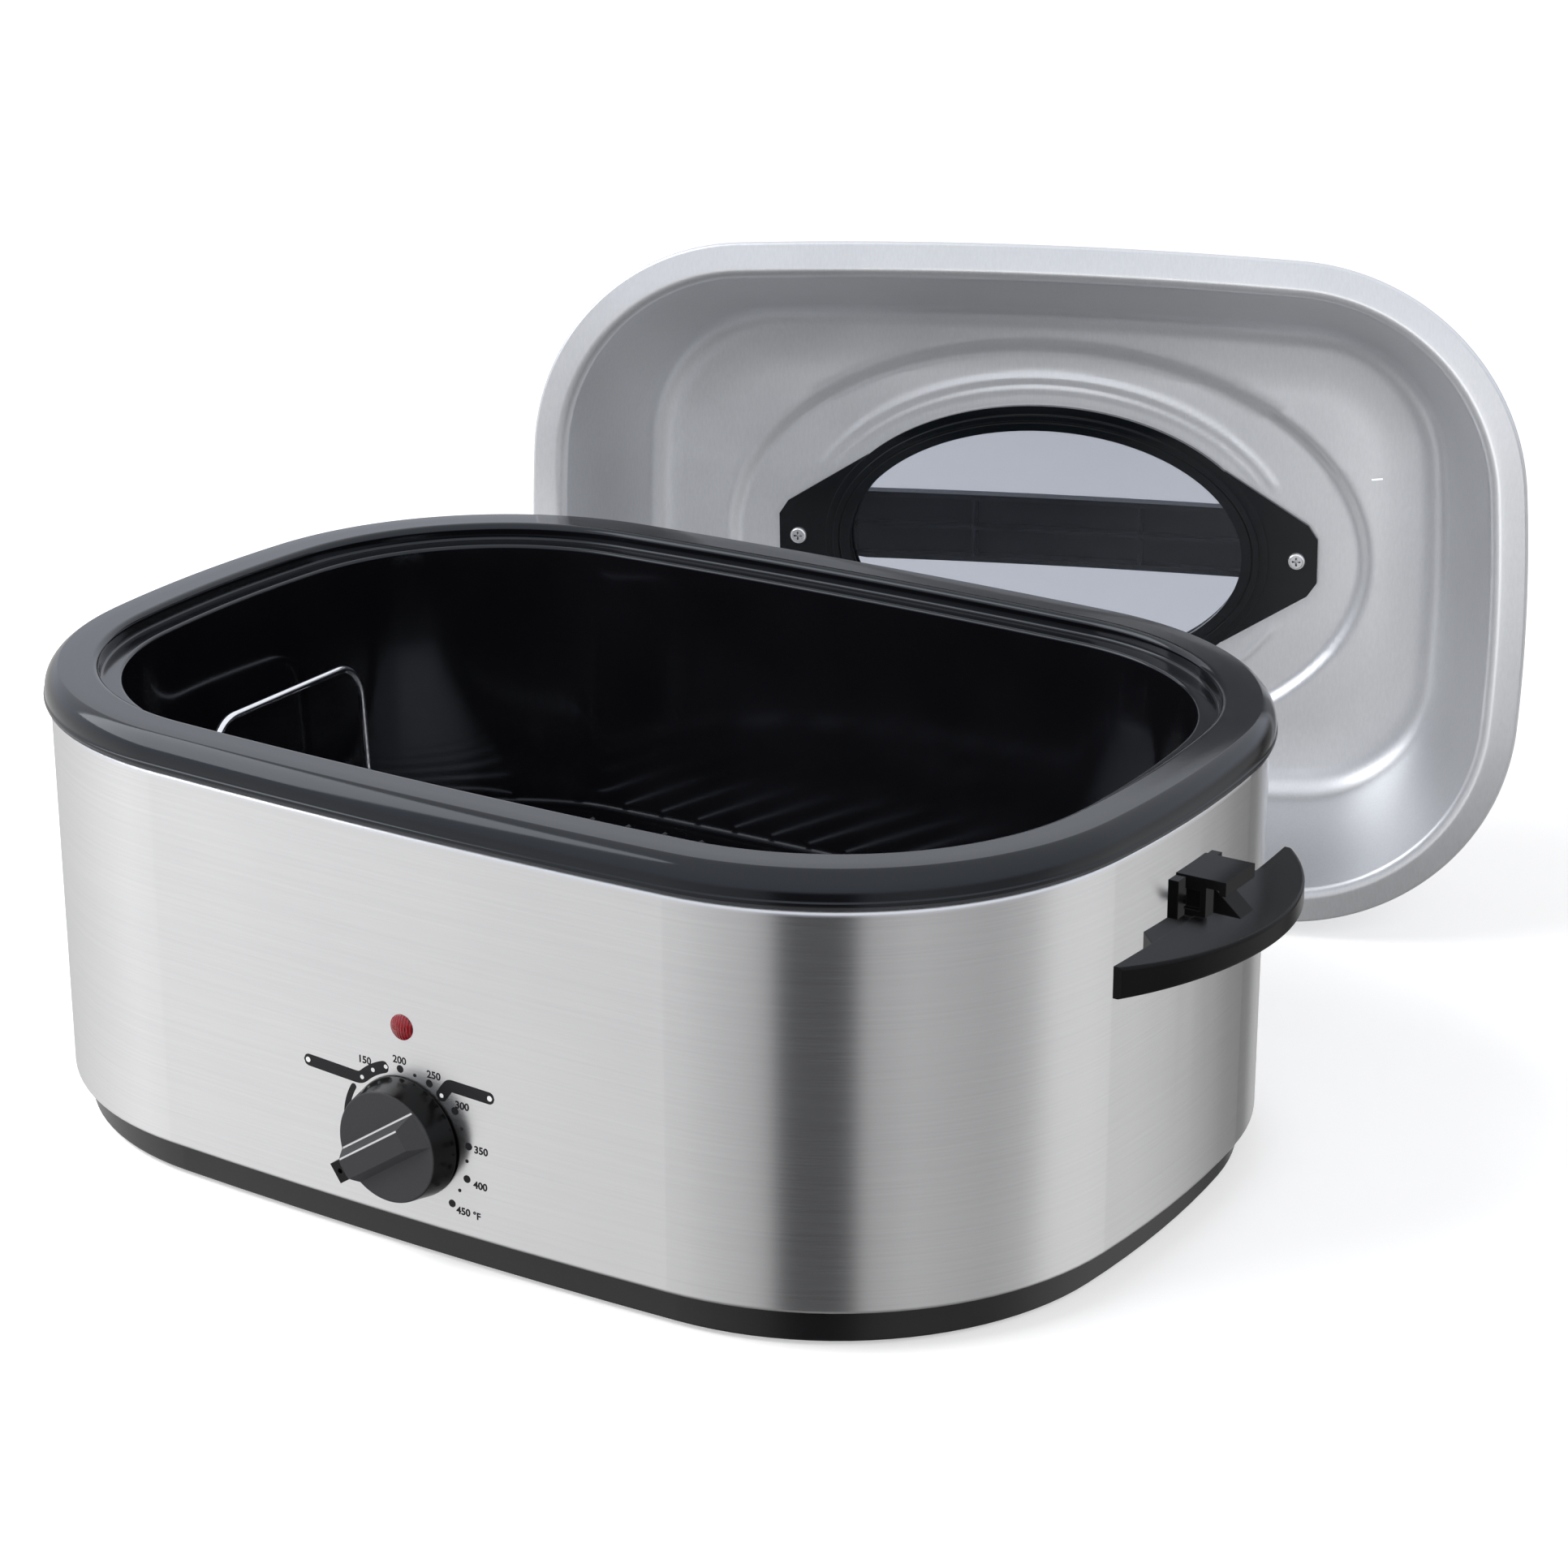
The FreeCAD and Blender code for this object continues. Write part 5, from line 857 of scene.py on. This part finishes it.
def numeral(text, x, z):
    """Outline of a number as a filled mesh, centred on its place, its points and faces."""
    data = bpy.data.curves.new("numeral", "FONT")
    data.body = text
    data.resolution_u = 4
    data.offset = NUMERAL_WEIGHT
    made = put("numeral", data)
    view = bpy.context.evaluated_depsgraph_get()
    view.update()
    mesh = bpy.data.meshes.new_from_object(made.evaluated_get(view))
    flat = np.empty(len(mesh.vertices) * 3)
    mesh.vertices.foreach_get("co", flat)
    flat = flat.reshape(-1, 3)[:, :2]
    mesh.calc_loop_triangles()
    faces = np.empty(len(mesh.loop_triangles) * 3, dtype=int)
    mesh.loop_triangles.foreach_get("vertices", faces)
    low, high = flat.min(0), flat.max(0)
    grow = NUMERAL_HEIGHT / (high[1] - low[1])
    flat = (flat - (low + high) / 2) * (grow * 1.02, grow) + (x, z)
    bpy.data.objects.remove(made)
    bpy.data.curves.remove(data)
    return flat, faces.reshape(-1, 3)


def printed(name, marks, lift, material):
    """Flat marks of (x, z) points and faces laid over the bowed front as one print, every triangle
    turned the same way round by the sign of its area."""
    sizes = np.cumsum([0] + [len(points) for points, faces in marks])
    flat = np.concatenate([points for points, faces in marks])
    corners = triangles([faces + start for (points, faces), start in zip(marks, sizes)])
    a, b, c = flat[corners[:, 0]], flat[corners[:, 1]], flat[corners[:, 2]]
    turned = (b - a)[:, 0] * (c - a)[:, 1] - (b - a)[:, 1] * (c - a)[:, 0] < 0
    corners[turned] = corners[turned][:, ::-1]
    piece(name, on_front(flat[:, 0], flat[:, 1], lift), [corners], material, "oven_body",
          facing=(0, -1, 0))


def dial_ink(name, deep, pale):
    """Screen-printed ink with fine edges of the mesh and slight unevenness."""
    material, f = finish(name)
    mesh_marks = f.noise(f.place(), scale=4000)
    f.surface(base_color=f.tint(mesh_marks, deep, pale), ior=1.35,
              roughness=mesh_marks.between(0.45, 0.6))
    return material


def dial_print():
    """Two tags, an arc, dots and numbers in dark ink, and light dots over the tags."""
    long_tag = np.vstack([LONG_TAG_START, dial_spot(np.linspace(*LONG_TAG_END, 12))])
    arc = dial_spot(np.linspace(*ARC_ENDS, 24), ARC_RADIUS)
    bands = [ribbon(long_tag, TAG_WIDTH), ribbon(SHORT_TAG, TAG_WIDTH), ribbon(arc, ARC_WIDTH)]
    dark = [(band.reshape(-1, 2), sheet_faces(*band.shape[:2])) for band in bands]
    dark += [disc(x, z, BIG_DOT) for x, z in DIAL_BIG_DOTS]
    dark += [disc(x, z, SMALL_DOT) for x, z in DIAL_SMALL_DOTS]
    dark += [numeral(*number) for number in DIAL_NUMBERS]
    printed("dial_print", dark, DARK_LIFT,
            dial_ink("dial_ink", (0.006, 0.006, 0.007), (0.014, 0.014, 0.016)))
    light = [disc(*dial_spot(angle), TAG_LIGHT) for angle in LONG_TAG_LIGHTS]
    light += [disc(*place_and_radius) for place_and_radius in TAG_END_LIGHTS]
    printed("dial_lights", light, LIGHT_LIFT,
            dial_ink("dial_ink_light", (0.72, 0.72, 0.72), (0.8, 0.8, 0.8)))


dial_print()


# ------------------------------------------------------------------ studio

CAMERA_PLACE = Vector((0.94698, -1.49363, 0.77328))
CAMERA_AHEAD = Vector((-0.50457, 0.79061, -0.34690))
CAMERA_ROLL = math.radians(-0.066)
CAMERA_LENS = 89.776            # mm, on a sensor 36 mm wide


def camera():
    """A long lens in front and to the right, looking a little down."""
    data = bpy.data.cameras.new("camera")
    data.lens = CAMERA_LENS
    data.sensor_width = 36.0
    eye = put("camera", data)
    ahead = CAMERA_AHEAD.normalized()
    right = ahead.cross(Vector((0, 0, 1))).normalized()
    up = right.cross(ahead)
    side = right * math.cos(CAMERA_ROLL) + up * math.sin(CAMERA_ROLL)
    top = up * math.cos(CAMERA_ROLL) - right * math.sin(CAMERA_ROLL)
    turn = Matrix((side, top, -ahead)).transposed().to_4x4()
    eye.matrix_world = Matrix.Translation(CAMERA_PLACE) @ turn
    bpy.context.scene.camera = eye


# Brightness of the room by compass angle, in degrees from the front towards the right
ROOM_LOW = ((-180, 0.5), (-120, 0.7), (-60, 1.05), (-45, 0.95), (-30, 0.8), (-14, 0.66), (2, 0.54),
            (9, 0.42), (13, 0.10), (17, 0.05), (32, 0.045), (37, 0.09), (42, 0.42), (58, 0.53),
            (72, 0.48), (86, 0.44), (100, 0.51), (112, 0.80), (131, 0.82), (140, 0.74), (150, 0.62),
            (160, 0.40), (166, 0.12), (180, 0.3))
ROOM_STRENGTH = 1.2             # of the room in what shines; the ramp's colours stay under 1


def studio():
    """White behind, as the camera sees it; light walls and dark screens in what shines; soft
    light."""
    world = bpy.data.worlds.new("studio")
    bpy.context.scene.world = world
    world.use_nodes = True
    f = Finish(world.node_tree)
    x, y, z = f.split(f.node("ShaderNodeTexCoord", out="Generated"))
    compass = f.node("ShaderNodeMath", {"operation": "ARCTAN2"}, (x, -y)) / (2 * math.pi) + 0.5
    stops = [(angle / 360 + 0.5, (*[level / ROOM_STRENGTH] * 3, 1)) for angle, level in ROOM_LOW]
    low = f.node("ShaderNodeValToRGB", {"stops": stops}, {"Fac": compass})
    high = f.tint(z.step(0.0, 0.8), (0.76, 0.80, 0.90), (0.90, 0.92, 0.96))
    under = f.over(z.step(-0.9, -0.5), (0.2, 0.2, 0.2, 1.0), low)
    seen = f.over(z.step(-0.06, 0.2), under, high)
    rays = f.node("ShaderNodeLightPath", out="Is Camera Ray")
    glossy = Value(f, rays.socket.node.outputs["Is Glossy Ray"])
    through = Value(f, rays.socket.node.outputs["Is Transmission Ray"])
    plain = f.over(rays.math("MAXIMUM", through), (0.52, 0.52, 0.53, 1.0), (1.0, 1.0, 1.0, 1.0))
    colour = f.over(glossy, plain, seen)
    strength = glossy * (ROOM_STRENGTH - 1) + 1.0
    back = f.node("ShaderNodeBackground", inputs={"Color": colour, "Strength": strength})
    f.node("ShaderNodeOutputWorld", inputs={"Surface": back})


def softbox(name, place, aim, width, height, power):
    """Rectangular lamp at a place, turned towards a point."""
    data = bpy.data.lights.new(name, "AREA")
    data.shape = "RECTANGLE"
    data.size = width
    data.size_y = height
    data.energy = power
    lamp = put(name, data)
    lamp.location = place
    lamp.rotation_euler = (Vector(aim) - Vector(place)).to_track_quat("-Z", "Y").to_euler()
    return lamp


def only_for(lamp, *names):
    """Let a lamp light the named pieces alone, with nothing in its way."""
    chosen = bpy.data.collections.new(lamp.name)
    for name in names:
        chosen.objects.link(bpy.data.objects[name])
    lamp.light_linking.receiver_collection = chosen
    lamp.light_linking.blocker_collection = chosen
    lamp.visible_camera = False


FLOOR_SIDES = (-4.0, 4.0)
FLOOR_HEIGHT = -0.0002          # just under the feet


def floor():
    """Pale floor, white to the camera apart from the soft shadow."""
    material, f = finish("studio_floor")
    grain = f.noise(f.place(), scale=40)
    x, y, _ = f.split(f.place())
    far = ((x * x + y * y) ** 0.5).step(1.0, 3.5)
    f.surface(base_color=f.tint(grain, (0.84, 0.84, 0.84), (0.86, 0.86, 0.86)), roughness=0.9,
              emission_color=f.tint(far, (0.42, 0.42, 0.42), (0.66, 0.66, 0.66)),
              emission_strength=f.node("ShaderNodeLightPath", out="Is Camera Ray"))
    corners = np.array([(a, b, FLOOR_HEIGHT) for a in FLOOR_SIDES for b in FLOOR_SIDES])
    ground = mesh_object("floor", corners, [np.array([(0, 2, 3, 1)])])
    ground.data.materials.append(material)
    ground.visible_glossy = False


camera()
studio()
softbox("key", (-1.1, -1.5, 2.2), (0, -0.1, 0.1), 1.6, 1.2, 36).visible_glossy = False
softbox("fill", (1.8, -0.9, 1.5), (0, 0, 0.1), 1.2, 1.2, 12).visible_glossy = False
softbox("near_left", (-1.15, -0.75, 1.1), (-0.1, -0.1, 0.2), 1.3, 1.0, 12)
only_for(softbox("lid_lamp", (0.35, -0.75, 0.08), (0.1, 0.25, 0.2), 0.8, 0.4, 2.4), "lid_shell")
floor()

bpy.context.scene.view_settings.view_transform = "Standard"
